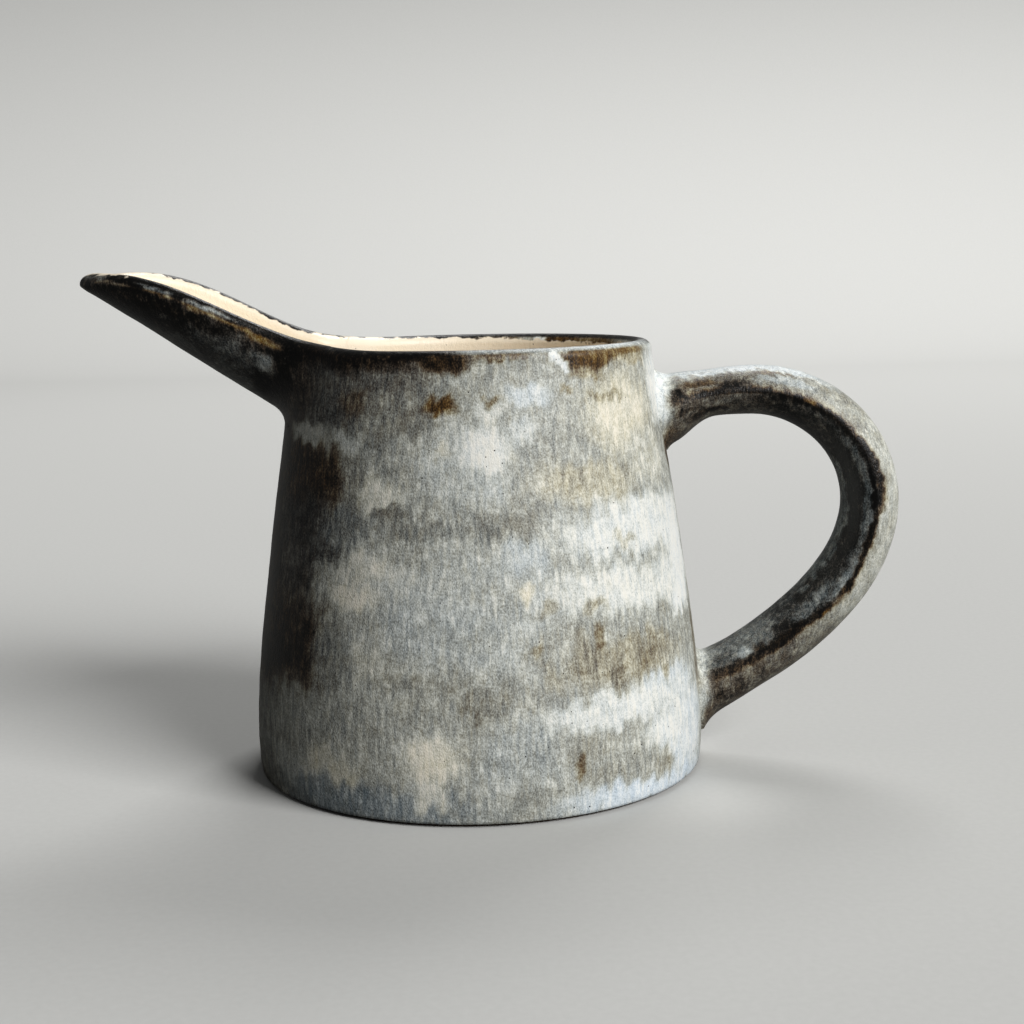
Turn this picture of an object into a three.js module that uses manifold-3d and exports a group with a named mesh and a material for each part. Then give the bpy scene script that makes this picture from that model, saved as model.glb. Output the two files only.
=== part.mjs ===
// A hand-built stoneware pouring jug: a leaning wall on a base disc, a long open spout and a pulled handle.
// Millimetres, +Z up. The origin is the centre of the foot, the spout points along -X, the handle along +X.
import * as THREE from 'three';
import { mergeVertices } from 'three/addons/utils/BufferGeometryUtils.js';
import Module from 'manifold-3d';

const wasm = await Module();
wasm.setup();

// Wall and base
const RIM_HEIGHT = 94;
const RIM_RADIUS = 39.1;
const BELLY_RADIUS = 50.3;
const BELLY_HEIGHT = 8;
const FOOT_TUCK = 1;
const FOOT_EDGE = 0.9;
const LEAN_SOFTNESS = 0.2;
const WALL = 4.6;
const FLOOR = 6;

// Spout: reach and rise are from the rim to the tip, drop is from the rim to where the keel meets the wall
const SPOUT_REACH = 46;
const SPOUT_RISE = 15;
const SPOUT_DROP = 15;
const SPOUT_WIDTH = 35;
const SPOUT_WALL = 3.4;
const SPOUT_LIP_ROUND = 1.4;
const SPOUT_LIP_LIMIT = 0.4;
const SPOUT_SHOULDER = 0.3;
const SPOUT_TIP_DEPTH = 1.4;
const SPOUT_CREST = 7.6;
const SPOUT_CREST_SHARE = 0.53;
const SPOUT_EASE = 9;
const RIM_LIFT = 2.2;
const RIM_LIFT_DEPTH = 24;
const RIM_LIFT_HALF_ANGLE = THREE.MathUtils.degToRad(62);

// Handle: a mid-line in the XZ plane from the wall over a crest and round a bend back to the wall
const UPPER_ROOT_DROP = 16.2;
const UPPER_ROOT_SLOPE = THREE.MathUtils.degToRad(30);
const CREST_DROP = 11.8;
const CREST_OUT = 22;
const BEND_OUT = 48.9;
const BEND_HEIGHT = 57;
const LOWER_ROOT_HEIGHT = 15.3;
const LOWER_ROOT_SLOPE = THREE.MathUtils.degToRad(25.8);
const ROOT_DEPTH = 10;

// How far each stretch of the mid-line keeps its direction, as a share of that stretch
const UPPER_ROOT_PULL = 0.3;
const CREST_PULL = 0.5;
const QUARTER_PULL = 0.5523;
const BEND_PULL = 0.41;
const LOWER_ROOT_PULL = 0.53;

// Handle section: an oval that thickens between two shares of the length and spreads at its roots
const HANDLE_WIDTH = 17;
const CREST_THICKNESS = 11.1;
const LOWER_THICKNESS = 13.6;
const THICKEN_START = 0.12;
const THICKEN_END = 0.6;
const UPPER_ROOT_SPREAD = 2.2;
const LOWER_ROOT_SPREAD = 0.6;
const ROOT_SPREAD_LENGTH = 12;

// Worked-in coils: how far each one fills its corner, and how thick its edge is left
const BASE_COIL = 5.5;
const SPOUT_COIL = 4.2;
const UPPER_COIL = { above: 4.2, below: 3.2 };
const LOWER_COIL = { above: 2.6, below: 5.4 };
const COIL_EDGE = 0.5;

// Clearance between pieces that are cut to each other, and facet counts
const JOIN_GAP = 0.3;
const TURN_STEPS = 72;
const WALL_STEPS = 12;
const LIP_STEPS = 6;
const SECTION_STEPS = 22;
const SPOUT_STEPS = 22;
const HANDLE_STEPS = 40;
const COIL_STEPS = 4;
const FOOT_STEPS = 4;
const HALVINGS = 40;
const WELD = 1e-4;
const LEAST_SIZE = 0.05;
const OVAL_START = 0.08 * Math.PI;

const GLAZE = { color: '#a6a7a2', roughness: 0.45, metalness: 0 };
const DARK_GLAZE = { color: '#45403a', roughness: 0.35, metalness: 0 };
const LINER_GLAZE = { color: '#e8dac4', roughness: 0.3, metalness: 0 };
const BARE_CLAY = { color: '#5b4535', roughness: 0.85, metalness: 0 };

const { lerp, smoothstep } = THREE.MathUtils;

// Outer radius of the jug at a height: tucked in at the foot, widest at the belly, then a straight lean
function wallRadius(z) {
  if (z < BELLY_HEIGHT) return BELLY_RADIUS - FOOT_TUCK * (1 - z / BELLY_HEIGHT) ** 2;
  const rise = (z - BELLY_HEIGHT) / (RIM_HEIGHT - BELLY_HEIGHT);
  const lean = Math.hypot(rise, LEAN_SOFTNESS) - LEAN_SOFTNESS;
  const fullLean = Math.hypot(1, LEAN_SOFTNESS) - LEAN_SOFTNESS;
  return BELLY_RADIUS - (BELLY_RADIUS - RIM_RADIUS) * lean / fullLean;
}

// Distance of a point outside the jug's outer surface, and that surface's outward direction there
const wallDistance = (p) => Math.hypot(p.x, p.y) - wallRadius(p.z);
function wallNormal(p) {
  const lean = (wallRadius(p.z + JOIN_GAP) - wallRadius(p.z - JOIN_GAP)) / (2 * JOIN_GAP);
  return new THREE.Vector3(p.x, p.y, 0).normalize().setZ(-lean).normalize();
}

// Evenly spaced values from a to b, both included
const steps = (a, b, count) => Array.from({ length: count + 1 }, (_, i) => lerp(a, b, i / count));

// The whole numbers from 0 up to a count
const numbers = (count) => Array.from({ length: count }, (_, i) => i);

// A closed indexed geometry with no repeated corners
function weld(geometry) {
  geometry.deleteAttribute('normal');
  geometry.deleteAttribute('uv');
  const merged = mergeVertices(geometry, WELD);
  const index = merged.index.array;
  const kept = [];
  for (let i = 0; i < index.length; i += 3) {
    const [a, b, c] = index.slice(i, i + 3);
    if (a !== b && b !== c && c !== a) kept.push(a, b, c);
  }
  merged.setIndex(kept);
  return merged;
}

// A profile of Vector2(radius, height) turned about Z
function turned(profile) {
  return weld(new THREE.LatheGeometry(profile, TURN_STEPS).rotateX(Math.PI / 2));
}

// A skin over rings of equally many points, joined round to its start or closed by a fan at each end
function loft(rings, joined = false) {
  const count = rings[0].length;
  const points = rings.flat();
  const index = [];
  for (let r = 0; r + 1 < rings.length + joined; r++) {
    for (let i = 0; i < count; i++) {
      const near = [r * count + i, r * count + (i + 1) % count];
      const [a, b] = near.map((corner) => (corner + count) % (rings.length * count));
      index.push(near[0], near[1], b, near[0], b, a);
    }
  }
  const ends = joined ? [] : [[rings[0], 0, true], [rings.at(-1), points.length - count, false]];
  for (const [ring, start, inward] of ends) {
    points.push(ring.reduce((sum, p) => sum.add(p), new THREE.Vector3()).divideScalar(count));
    for (let i = 0; i < count; i++) {
      const edge = [start + i, start + (i + 1) % count];
      if (inward) edge.reverse();
      index.push(...edge, points.length - 1);
    }
  }
  const geometry = new THREE.BufferGeometry().setFromPoints(points);
  geometry.setIndex(index);
  return weld(geometry);
}

// A geometry as a solid for joins and cuts, turned right side out
function solid(geometry) {
  const vertProperties = new Float32Array(geometry.attributes.position.array);
  const triVerts = new Uint32Array(geometry.index.array);
  const made = new wasm.Manifold(new wasm.Mesh({ numProp: 3, vertProperties, triVerts }));
  if (made.volume() > 0) return made;
  return new wasm.Manifold(new wasm.Mesh({ numProp: 3, vertProperties, triVerts: triVerts.reverse() }));
}

// A named mesh from a solid
function piece(name, body, look) {
  const { vertProperties, triVerts } = body.getMesh();
  const geometry = new THREE.BufferGeometry();
  geometry.setAttribute('position', new THREE.BufferAttribute(vertProperties, 3));
  geometry.setIndex(new THREE.BufferAttribute(triVerts, 1));
  geometry.computeVertexNormals();
  const mesh = new THREE.Mesh(geometry, new THREE.MeshStandardMaterial(look));
  mesh.name = name;
  return mesh;
}

// The jug's outer form as a full solid, a clearance larger, that cuts the pieces which meet the wall
function wallBlank(gap) {
  const top = RIM_HEIGHT + SPOUT_RISE + SPOUT_CREST;
  const profile = [new THREE.Vector2(0, -WALL)];
  for (const z of steps(-WALL, top, WALL_STEPS * 2)) {
    profile.push(new THREE.Vector2(wallRadius(z) + gap, z));
  }
  profile.push(new THREE.Vector2(0, top));
  return solid(turned(profile));
}

// Spout outline along s, the distance from the jug's axis towards -X
const spoutTip = RIM_RADIUS + SPOUT_REACH;
const tipHeight = RIM_HEIGHT + SPOUT_RISE;
const keelRootHeight = RIM_HEIGHT - SPOUT_DROP;
const keelRoot = wallRadius(keelRootHeight);
const keelSlope = Math.atan2(tipHeight - SPOUT_TIP_DEPTH - keelRootHeight, spoutTip - keelRoot);
const spoutStart = RIM_RADIUS - SPOUT_EASE;
const lipCurve = new THREE.CubicBezierCurve(
  new THREE.Vector2(spoutStart, RIM_HEIGHT + RIM_LIFT / 2),
  new THREE.Vector2(RIM_RADIUS + SPOUT_EASE, RIM_HEIGHT + RIM_LIFT),
  new THREE.Vector2(lerp(RIM_RADIUS, spoutTip, SPOUT_CREST_SHARE), tipHeight + SPOUT_CREST),
  new THREE.Vector2(spoutTip, tipHeight),
);

// Height of the lip at s, found by halving the curve's parameter
function lipHeight(s) {
  let low = 0;
  let high = 1;
  for (let i = 0; i < HALVINGS; i++) {
    const middle = (low + high) / 2;
    if (lipCurve.getPoint(middle).x < s) low = middle;
    else high = middle;
  }
  return lipCurve.getPoint(low).y;
}

// Height of the keel at s, a straight line from the wall to the underside of the tip
function keelHeight(s) {
  const along = (s - keelRoot) / (spoutTip - keelRoot);
  return lerp(keelRootHeight, tipHeight - SPOUT_TIP_DEPTH, along);
}

// Half-width of the spout at s when its nose ends at a given reach: straight sides, then an elliptic nose
function noseShare(s, tip) {
  const noseStart = RIM_RADIUS + SPOUT_EASE / 2;
  const along = Math.max(0, (s - noseStart) / (tip - noseStart));
  return Math.sqrt(Math.max(0, 1 - along ** 2));
}

// One upright section of a hull at s: a half oval hung from the lip with softened corners and a flat top.
// Each spot is a point with its outward direction. The inset hull is the hollow, whose mouth opens out.
function hullSection(s, tip, inset, topRise) {
  const half = Math.max((SPOUT_WIDTH / 2 - inset) * noseShare(s, tip), LEAST_SIZE);
  const top = lipHeight(s);
  const depth = Math.max(top - keelHeight(s) - inset / Math.cos(keelSlope), LEAST_SIZE);
  const round = Math.min(SPOUT_LIP_ROUND, half * SPOUT_LIP_LIMIT);
  const opening = inset > 0 ? round : -round;
  const spot = (side, y, z) => ({
    point: new THREE.Vector3(-s, side * y, z),
    out: new THREE.Vector3(0, side, 0),
  });
  const edge = (side) => spot(side, half + opening, top + topRise);
  const shoulder = (side) => spot(side, half + opening * SPOUT_SHOULDER, top - round * SPOUT_SHOULDER);
  const oval = steps(OVAL_START, Math.PI - OVAL_START, SECTION_STEPS).map((angle) => ({
    point: new THREE.Vector3(-s, -half * Math.cos(angle), top - depth * Math.sin(angle)),
    out: new THREE.Vector3(0, -depth * Math.cos(angle), -half * Math.sin(angle)).normalize(),
  }));
  return [edge(-1), shoulder(-1), ...oval, shoulder(1), edge(1)];
}

// A hull from inside the jug out to its tip, with sections closing up towards the nose
function spoutHull(start, tip, inset, topRise) {
  const rings = steps(0, Math.PI / 2, SPOUT_STEPS).map((turn) => {
    const s = lerp(start, tip - LEAST_SIZE, Math.sin(turn));
    return hullSection(s, tip, inset, topRise).map((spot) => spot.point);
  });
  return solid(loft(rings));
}

// The spout's hollow, run on through the wall into the jug
const hollowStart = spoutStart - SPOUT_EASE;
const hollowTip = spoutTip - SPOUT_WALL;
const spoutHollow = () => spoutHull(hollowStart, hollowTip, SPOUT_WALL, SPOUT_RISE);

// Mid-line of the handle: straight ends in the wall, a rise to the crest, a quarter oval, a long return
const crest = new THREE.Vector3(RIM_RADIUS + CREST_OUT, 0, RIM_HEIGHT - CREST_DROP);
const bend = new THREE.Vector3(RIM_RADIUS + BEND_OUT, 0, BEND_HEIGHT);
const upperRootHeight = RIM_HEIGHT - UPPER_ROOT_DROP;
const upperRoot = new THREE.Vector3(wallRadius(upperRootHeight), 0, upperRootHeight);
const lowerRoot = new THREE.Vector3(wallRadius(LOWER_ROOT_HEIGHT), 0, LOWER_ROOT_HEIGHT);
const upperWay = new THREE.Vector3(Math.cos(UPPER_ROOT_SLOPE), 0, Math.sin(UPPER_ROOT_SLOPE));
const lowerWay = new THREE.Vector3(Math.cos(LOWER_ROOT_SLOPE), 0, Math.sin(LOWER_ROOT_SLOPE));

// A point moved along X and Z
const shifted = (from, x, z) => new THREE.Vector3(from.x + x, 0, from.z + z);
const crestReach = crest.x - upperRoot.x;
const bendReach = bend.x - crest.x;
const bendDrop = crest.z - bend.z;
const bendFall = bend.z - lowerRoot.z;

const handleLine = new THREE.CurvePath();
handleLine.add(new THREE.LineCurve3(upperRoot.clone().addScaledVector(upperWay, -ROOT_DEPTH), upperRoot));
handleLine.add(new THREE.CubicBezierCurve3(
  upperRoot,
  upperRoot.clone().addScaledVector(upperWay, crestReach * UPPER_ROOT_PULL),
  shifted(crest, -crestReach * CREST_PULL, 0),
  crest,
));
handleLine.add(new THREE.CubicBezierCurve3(
  crest,
  shifted(crest, bendReach * QUARTER_PULL, 0),
  shifted(bend, 0, bendDrop * QUARTER_PULL),
  bend,
));
handleLine.add(new THREE.CubicBezierCurve3(
  bend,
  shifted(bend, 0, -bendFall * BEND_PULL),
  lowerRoot.clone().addScaledVector(lowerWay, bendFall * LOWER_ROOT_PULL),
  lowerRoot,
));
handleLine.add(new THREE.LineCurve3(lowerRoot, lowerRoot.clone().addScaledVector(lowerWay, -ROOT_DEPTH)));
const handleLength = handleLine.getLength();

// One oval section of the handle, a clearance larger, as points with their outward directions
function handleSection(share, gap) {
  const centre = handleLine.getPoint(share);
  const along = handleLine.getTangent(share);
  const across = new THREE.Vector3(-along.z, 0, along.x);
  const nearRoot = (length) => 1 - smoothstep(length, ROOT_DEPTH, ROOT_DEPTH + ROOT_SPREAD_LENGTH);
  const upper = nearRoot(share * handleLength);
  const lower = nearRoot((1 - share) * handleLength);
  const spread = UPPER_ROOT_SPREAD * upper + LOWER_ROOT_SPREAD * lower;
  const thickening = smoothstep(share, THICKEN_START, THICKEN_END);
  const thickness = lerp(CREST_THICKNESS, LOWER_THICKNESS, thickening);
  const halfThick = thickness / 2 + spread + gap;
  const halfWide = HANDLE_WIDTH / 2 + spread / 2 + gap;
  return steps(0, 2 * Math.PI, SECTION_STEPS).slice(1).map((angle) => {
    const wide = Math.cos(angle);
    const thick = Math.sin(angle);
    const point = centre.clone().addScaledVector(across, halfThick * thick);
    point.y += halfWide * wide;
    const out = across.clone().multiplyScalar(thick / halfThick);
    out.y = wide / halfWide;
    return { point, out: out.normalize() };
  });
}

// The whole strap as a full solid, a clearance larger, with both ends inside the wall
function handleBlank(gap) {
  const ring = (share) => handleSection(share, gap).map((spot) => spot.point);
  return solid(loft(steps(0, 1, HANDLE_STEPS).map(ring)));
}

// How far along a line of spots the wall's surface is left, found by halving
function wallCrossing(line) {
  let low = 0;
  let high = 2 * ROOT_DEPTH;
  for (let i = 0; i < HALVINGS; i++) {
    const middle = (low + high) / 2;
    if (wallDistance(line(middle).point) < JOIN_GAP) low = middle;
    else high = middle;
  }
  return high;
}

// One section of a coil: its corner, a blunt edge on the carried piece, a hollow face, a blunt edge on the wall
function coilSection(line, { above, below }) {
  const root = wallCrossing(line);
  const corner = line(root);
  const size = lerp(below, above, (corner.out.z + 1) / 2);
  const head = line(root + size);
  const normal = wallNormal(corner.point);
  const aside = corner.out.clone().projectOnPlane(normal).normalize();
  const foot = corner.point.clone().addScaledVector(aside, size);
  foot.addScaledVector(wallNormal(foot), JOIN_GAP - wallDistance(foot));
  const face = new THREE.QuadraticBezierCurve3(
    head.point.clone().addScaledVector(head.out, COIL_EDGE),
    corner.point.clone().addScaledVector(corner.out, COIL_EDGE).addScaledVector(normal, COIL_EDGE),
    foot.clone().addScaledVector(wallNormal(foot), COIL_EDGE),
  );
  return [corner.point, head.point, ...face.getPoints(COIL_STEPS), foot];
}

// The wall: a turned shell with a round lip, raised a little towards the spout and opened into it
function makeWall() {
  const lip = WALL / 2;
  const lipCentre = new THREE.Vector2(RIM_RADIUS - lip, RIM_HEIGHT - lip);
  const heights = steps(FLOOR, lipCentre.y, WALL_STEPS);
  const profile = heights.map((z) => new THREE.Vector2(wallRadius(z), z));
  for (const angle of steps(0, Math.PI, LIP_STEPS).slice(1, -1)) {
    profile.push(new THREE.Vector2(lip * Math.cos(angle), lip * Math.sin(angle)).add(lipCentre));
  }
  for (const z of heights.reverse()) {
    profile.push(new THREE.Vector2(wallRadius(z) - WALL, z));
  }
  profile.push(profile[0].clone());
  const shell = turned(profile);
  const place = shell.attributes.position;
  for (let i = 0; i < place.count; i++) {
    const angle = Math.abs(Math.atan2(place.getY(i), -place.getX(i)));
    const near = smoothstep(RIM_LIFT_HALF_ANGLE - angle, 0, RIM_LIFT_HALF_ANGLE);
    const high = smoothstep(place.getZ(i), RIM_HEIGHT - RIM_LIFT_DEPTH, RIM_HEIGHT);
    place.setZ(i, place.getZ(i) + RIM_LIFT * near * high);
  }
  return piece('body_wall', solid(shell).subtract(spoutHollow()), GLAZE);
}

// The base: a flat disc as wide as the foot of the wall, with a softened bare edge
function makeBase() {
  const profile = [new THREE.Vector2(0, 0), new THREE.Vector2(wallRadius(0) - FOOT_EDGE, 0)];
  for (const z of steps(FOOT_EDGE, FLOOR, FOOT_STEPS)) {
    profile.push(new THREE.Vector2(wallRadius(z), z));
  }
  profile.push(new THREE.Vector2(0, FLOOR));
  return piece('base_disc', solid(turned(profile)), BARE_CLAY);
}

// The coil pressed into the inside corner between the base and the wall
function makeBaseCoil() {
  const low = FLOOR + JOIN_GAP;
  const inner = (z) => wallRadius(z) - WALL - JOIN_GAP;
  const profile = [new THREE.Vector2(inner(low), low), new THREE.Vector2(inner(low) - BASE_COIL, low)];
  const hollow = BASE_COIL - COIL_EDGE;
  for (const angle of steps(0, Math.PI / 2, COIL_STEPS)) {
    const z = low + COIL_EDGE + hollow * (1 - Math.cos(angle));
    const x = inner(low) - BASE_COIL + hollow * Math.sin(angle);
    profile.push(new THREE.Vector2(x, z));
  }
  profile.push(new THREE.Vector2(inner(low + BASE_COIL), low + BASE_COIL));
  profile.push(profile[0].clone());
  return piece('base_coil', solid(turned(profile)), LINER_GLAZE);
}

// The spout: an open trough cut to the wall it is stuck on
function makeSpout() {
  const hull = spoutHull(spoutStart, spoutTip, 0, 0);
  return piece('spout', hull.subtract(spoutHollow()).subtract(wallBlank(JOIN_GAP)), DARK_GLAZE);
}

// The coil worked into the corner under and beside the spout, between its two lips
function makeSpoutCoil() {
  const underside = (s) => hullSection(s, spoutTip, 0, 0).slice(2, -2);
  const lines = numbers(SECTION_STEPS + 1).map((i) => (length) => {
    const { point, out } = underside(spoutStart + length)[i];
    return { point: point.addScaledVector(out, JOIN_GAP), out };
  });
  const rings = lines.map((line) => coilSection(line, { above: SPOUT_COIL, below: SPOUT_COIL }));
  return piece('spout_join_coil', solid(loft(rings)), DARK_GLAZE);
}

// The handle: a pulled oval strap from the upper root round to the lower one, cut to the wall
function makeHandle() {
  return piece('handle', handleBlank(0).subtract(wallBlank(JOIN_GAP)), GLAZE);
}

// The coil round one root of the handle, with lengths measured from the end inside the wall
function makeHandleCoil(name, shareAt, size) {
  const lines = numbers(SECTION_STEPS).map((i) => (length) => (
    handleSection(shareAt(length / handleLength), JOIN_GAP)[i]
  ));
  return piece(name, solid(loft(lines.map((line) => coilSection(line, size)), true)), GLAZE);
}

const jug = new THREE.Group();
jug.add(makeWall(), makeBase(), makeBaseCoil());
jug.add(makeSpout(), makeSpoutCoil());
jug.add(makeHandle());
jug.add(makeHandleCoil('handle_upper_coil', (share) => share, UPPER_COIL));
jug.add(makeHandleCoil('handle_lower_coil', (share) => 1 - share, LOWER_COIL));

export default jug;
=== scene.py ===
# %% [markdown]
# # A stoneware pouring jug
# The jug is hand-built stoneware: a leaning wall on a flat base, a long open spout and a pulled handle.
# All of it is fired clay under one runny glaze, so the pieces have to flow into each other without a seam.
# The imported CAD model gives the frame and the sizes. This script dresses it with smooth clay and glaze.

# %% Load the frame
import math

import bmesh
import bpy
import numpy as np
from mathutils import Matrix, Vector, noise


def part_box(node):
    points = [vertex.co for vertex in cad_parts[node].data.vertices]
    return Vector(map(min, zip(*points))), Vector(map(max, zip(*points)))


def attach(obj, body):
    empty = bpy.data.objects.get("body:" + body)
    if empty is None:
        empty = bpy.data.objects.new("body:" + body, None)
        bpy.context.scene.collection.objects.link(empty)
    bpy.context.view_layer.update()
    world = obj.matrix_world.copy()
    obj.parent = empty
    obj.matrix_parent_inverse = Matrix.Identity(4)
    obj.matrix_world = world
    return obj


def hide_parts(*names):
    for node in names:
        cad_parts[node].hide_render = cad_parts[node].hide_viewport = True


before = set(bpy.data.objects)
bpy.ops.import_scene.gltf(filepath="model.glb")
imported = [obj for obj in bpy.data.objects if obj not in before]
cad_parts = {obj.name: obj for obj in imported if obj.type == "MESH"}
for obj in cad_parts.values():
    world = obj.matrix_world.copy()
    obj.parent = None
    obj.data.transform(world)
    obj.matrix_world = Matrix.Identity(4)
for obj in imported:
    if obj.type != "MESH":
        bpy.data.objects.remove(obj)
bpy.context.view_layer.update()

# %% [markdown]
# ## Small tools
# Clay has no straight steps, so most shapes here are blends. One function eases between two values, one
# mixes, and one turns the colour that a paint chip would carry, an sRGB hex value, to the linear light
# that Blender works in. The last two feed a node with values or links, and add a node to any tree.

# %% Blends, colours and nodes
MM = 0.001


def ease(x, low, high):
    share = np.clip((x - low) / (high - low), 0, 1)
    return share * share * (3 - 2 * share)


def mix(a, b, share):
    return a + (b - a) * share


def linear(hex_colour):
    channels = [int(hex_colour[i:i + 2], 16) / 255 for i in (1, 3, 5)]
    return [c / 12.92 if c <= 0.04045 else ((c + 0.055) / 1.055) ** 2.4 for c in channels] + [1]


def feed(tree, node, inputs):
    for key, value in inputs.items():
        if isinstance(value, bpy.types.NodeSocket):
            tree.links.new(value, node.inputs[key])
        else:
            node.inputs[key].default_value = value


# Gives back what comes out of the new node
def add(tree, kind, inputs=None, **settings):
    node = tree.nodes.new(kind)
    for name, value in settings.items():
        setattr(node, name, value)
    feed(tree, node, inputs or {})
    return node.outputs


print("mid grey in linear light", round(linear("#808080")[0], 3))

# %% [markdown]
# ## The camera
# The photograph was taken from a little above the rim with a slightly tilted camera. Its place was solved
# from the jug's own ellipses and outline, so the render lines up with the photograph. The focal length is
# kept in pixels of the 1024 pixel image and turned to millimetres of a 36 mm sensor.

# %% Place the camera
IMAGE_SIZE = 1024
SENSOR_WIDTH = 36
NEAREST_SEEN = 0.01
FOCAL_PIXELS = 1636.34
CAMERA_PLACE = Vector((0.0065863, -0.361285, 0.111051))
CAMERA_PITCH = 0.1515
CAMERA_YAW = 0.0042
CAMERA_ROLL = -0.0205


def link_object(name, data):
    made = bpy.data.objects.new(name, data)
    bpy.context.collection.objects.link(made)
    return made


camera_data = bpy.data.cameras.new("photo_camera")
camera_data.sensor_width = SENSOR_WIDTH
camera_data.lens = FOCAL_PIXELS / IMAGE_SIZE * SENSOR_WIDTH
camera_data.clip_start = NEAREST_SEEN
camera = link_object("photo_camera", camera_data)
turned = Matrix.Rotation(-CAMERA_YAW, 4, "Z") @ Matrix.Rotation(math.pi / 2 - CAMERA_PITCH, 4, "X")
turned = turned @ Matrix.Rotation(CAMERA_ROLL, 4, "Z")
camera.matrix_world = Matrix.Translation(CAMERA_PLACE) @ turned
bpy.context.scene.camera = camera
bpy.context.scene.view_settings.view_transform = "Standard"
print("lens", round(camera_data.lens, 2), "mm")

# %% [markdown]
# ## Floor and light
# The jug stands on a pale paper sweep: a sheet that lies flat and curves up behind, so no horizon shows.
# One large soft light stands to the right, in front and above, as a window would. A weaker one behind lights
# the far side and draws a bright line down the right edge. The world adds a weak even fill, which keeps the
# shaded left side readable. White paper would throw so much light back that dark glaze turns grey, so only
# the camera sees paper and room pale; to the light they are dim.

# %% Sweep and lamps
SWEEP_WIDTH = 5.0
SWEEP_FRONT = -1.9
SWEEP_BACK = 1.3
SWEEP_BEND = 0.5
SWEEP_TOP = 2.4
BEND_STEPS = 24
LAMP_AIM = Vector((0, 0, 0.06))
LAMPS = {
    "window_light": {"place": Vector((10.1, -8.9, 8.1)), "size": 8.5, "power": 2880.0},
    "back_light": {"place": Vector((0.45, 1.5, 1.7)), "size": 1.0, "power": 26.0},
}
FILL_COLOUR = "#f2f3f5"
FILL_STRENGTH = 0.1
ROOM_SEEN = "#cfcfcc"
PAPER_SEEN = ("#c3c3c0", "#cbcbc8")
PAPER_BOUNCE = "#5e5e5c"
PAPER_TOOTH = 1.5 * MM


def link_mesh(name, corners, faces, edges=()):
    mesh = bpy.data.meshes.new(name)
    mesh.from_pydata([tuple(corner) for corner in corners], edges, faces)
    return link_object(name, mesh)


def sweep_line():
    line = [(SWEEP_FRONT, 0.0)]
    for step in range(BEND_STEPS + 1):
        turn = math.pi / 2 * step / BEND_STEPS
        line.append((SWEEP_BACK + SWEEP_BEND * math.sin(turn), SWEEP_BEND * (1 - math.cos(turn))))
    line.append((SWEEP_BACK + SWEEP_BEND, SWEEP_TOP))
    return line


def make_floor():
    line = sweep_line()
    corners = [(side * SWEEP_WIDTH / 2, y, z) for y, z in line for side in (-1, 1)]
    faces = [(2 * i, 2 * i + 1, 2 * i + 3, 2 * i + 2) for i in range(len(line) - 1)]
    made = link_mesh("paper_sweep", corners, faces)
    made.data.shade_smooth()
    return made


def start_material(material):
    material.use_nodes = True
    tree = material.node_tree
    return tree, tree.nodes["Principled BSDF"], add(tree, "ShaderNodeTexCoord")["Object"]


# Matt paper scatters evenly, with a faint tooth that stops it from looking like a screen
def paper_material():
    material = bpy.data.materials.new("matt_studio_paper")
    tree, shader, place = start_material(material)
    speckle = {"Vector": place, "Scale": 1 / PAPER_TOOTH, "Detail": 3.0}
    tooth = add(tree, "ShaderNodeTexNoise", speckle)["Fac"]
    tones = {0: tooth, 6: linear(PAPER_SEEN[0]), 7: linear(PAPER_SEEN[1])}
    pale = add(tree, "ShaderNodeMix", tones, data_type="RGBA")[2]
    seen = add(tree, "ShaderNodeLightPath")["Is Camera Ray"]
    either = {0: seen, 6: linear(PAPER_BOUNCE), 7: pale}
    paper = add(tree, "ShaderNodeMix", either, data_type="RGBA")[2]
    feed(tree, shader, {"Base Color": paper, "Roughness": 1.0, "Specular IOR Level": 0.0})
    return material


floor = make_floor()
floor.data.materials.append(paper_material())


def hang_lamp(name, place, size, power):
    data = bpy.data.lights.new(name, "AREA")
    data.size = size
    data.energy = power
    lamp = link_object(name, data)
    lamp.location = place
    lamp.rotation_euler = (LAMP_AIM - place).to_track_quat("-Z", "Y").to_euler()
    print(name, round((LAMP_AIM - place).length, 2), "m from the jug")


def make_room():
    room = bpy.data.worlds.new("soft_room")
    room.use_nodes = True
    tree = room.node_tree
    fill = tree.nodes["Background"]
    feed(tree, fill, {"Color": linear(FILL_COLOUR), "Strength": FILL_STRENGTH})
    pale = add(tree, "ShaderNodeBackground", {"Color": linear(ROOM_SEEN)})[0]
    seen = add(tree, "ShaderNodeLightPath")["Is Camera Ray"]
    either = add(tree, "ShaderNodeMixShader", {0: seen, 1: fill.outputs[0], 2: pale})[0]
    feed(tree, tree.nodes["World Output"], {"Surface": either})
    bpy.context.scene.world = room


for name, lamp in LAMPS.items():
    hang_lamp(name, **lamp)
make_room()

# %% [markdown]
# ## The form of the wall
# A thrown or coiled wall is the same all the way round, so one rule gives its radius at each height: tucked
# in a little at the foot, widest just above it, and then a long straight lean up to the rim. Every other
# piece asks this rule how far it is from the wall, because each of them is worked into it.

# %% Sizes of the wall
_, wall_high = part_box("body_wall")
BELLY_RADIUS = round(wall_high[1], 4)
RIM_HEIGHT = 0.094
RIM_RADIUS = 0.0391
BELLY_HEIGHT = 0.008
FOOT_TUCK = 0.001
LEAN_SOFTNESS = 0.2
WALL = 0.0046
FLOOR = 0.006
BASE_COIL = 0.0055
RIM_LIFT = 0.0022
RIM_LIFT_DEPTH = 0.024
RIM_LIFT_HALF_ANGLE = math.radians(62)
RIM_MIDDLE = RIM_RADIUS - WALL / 2


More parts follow.
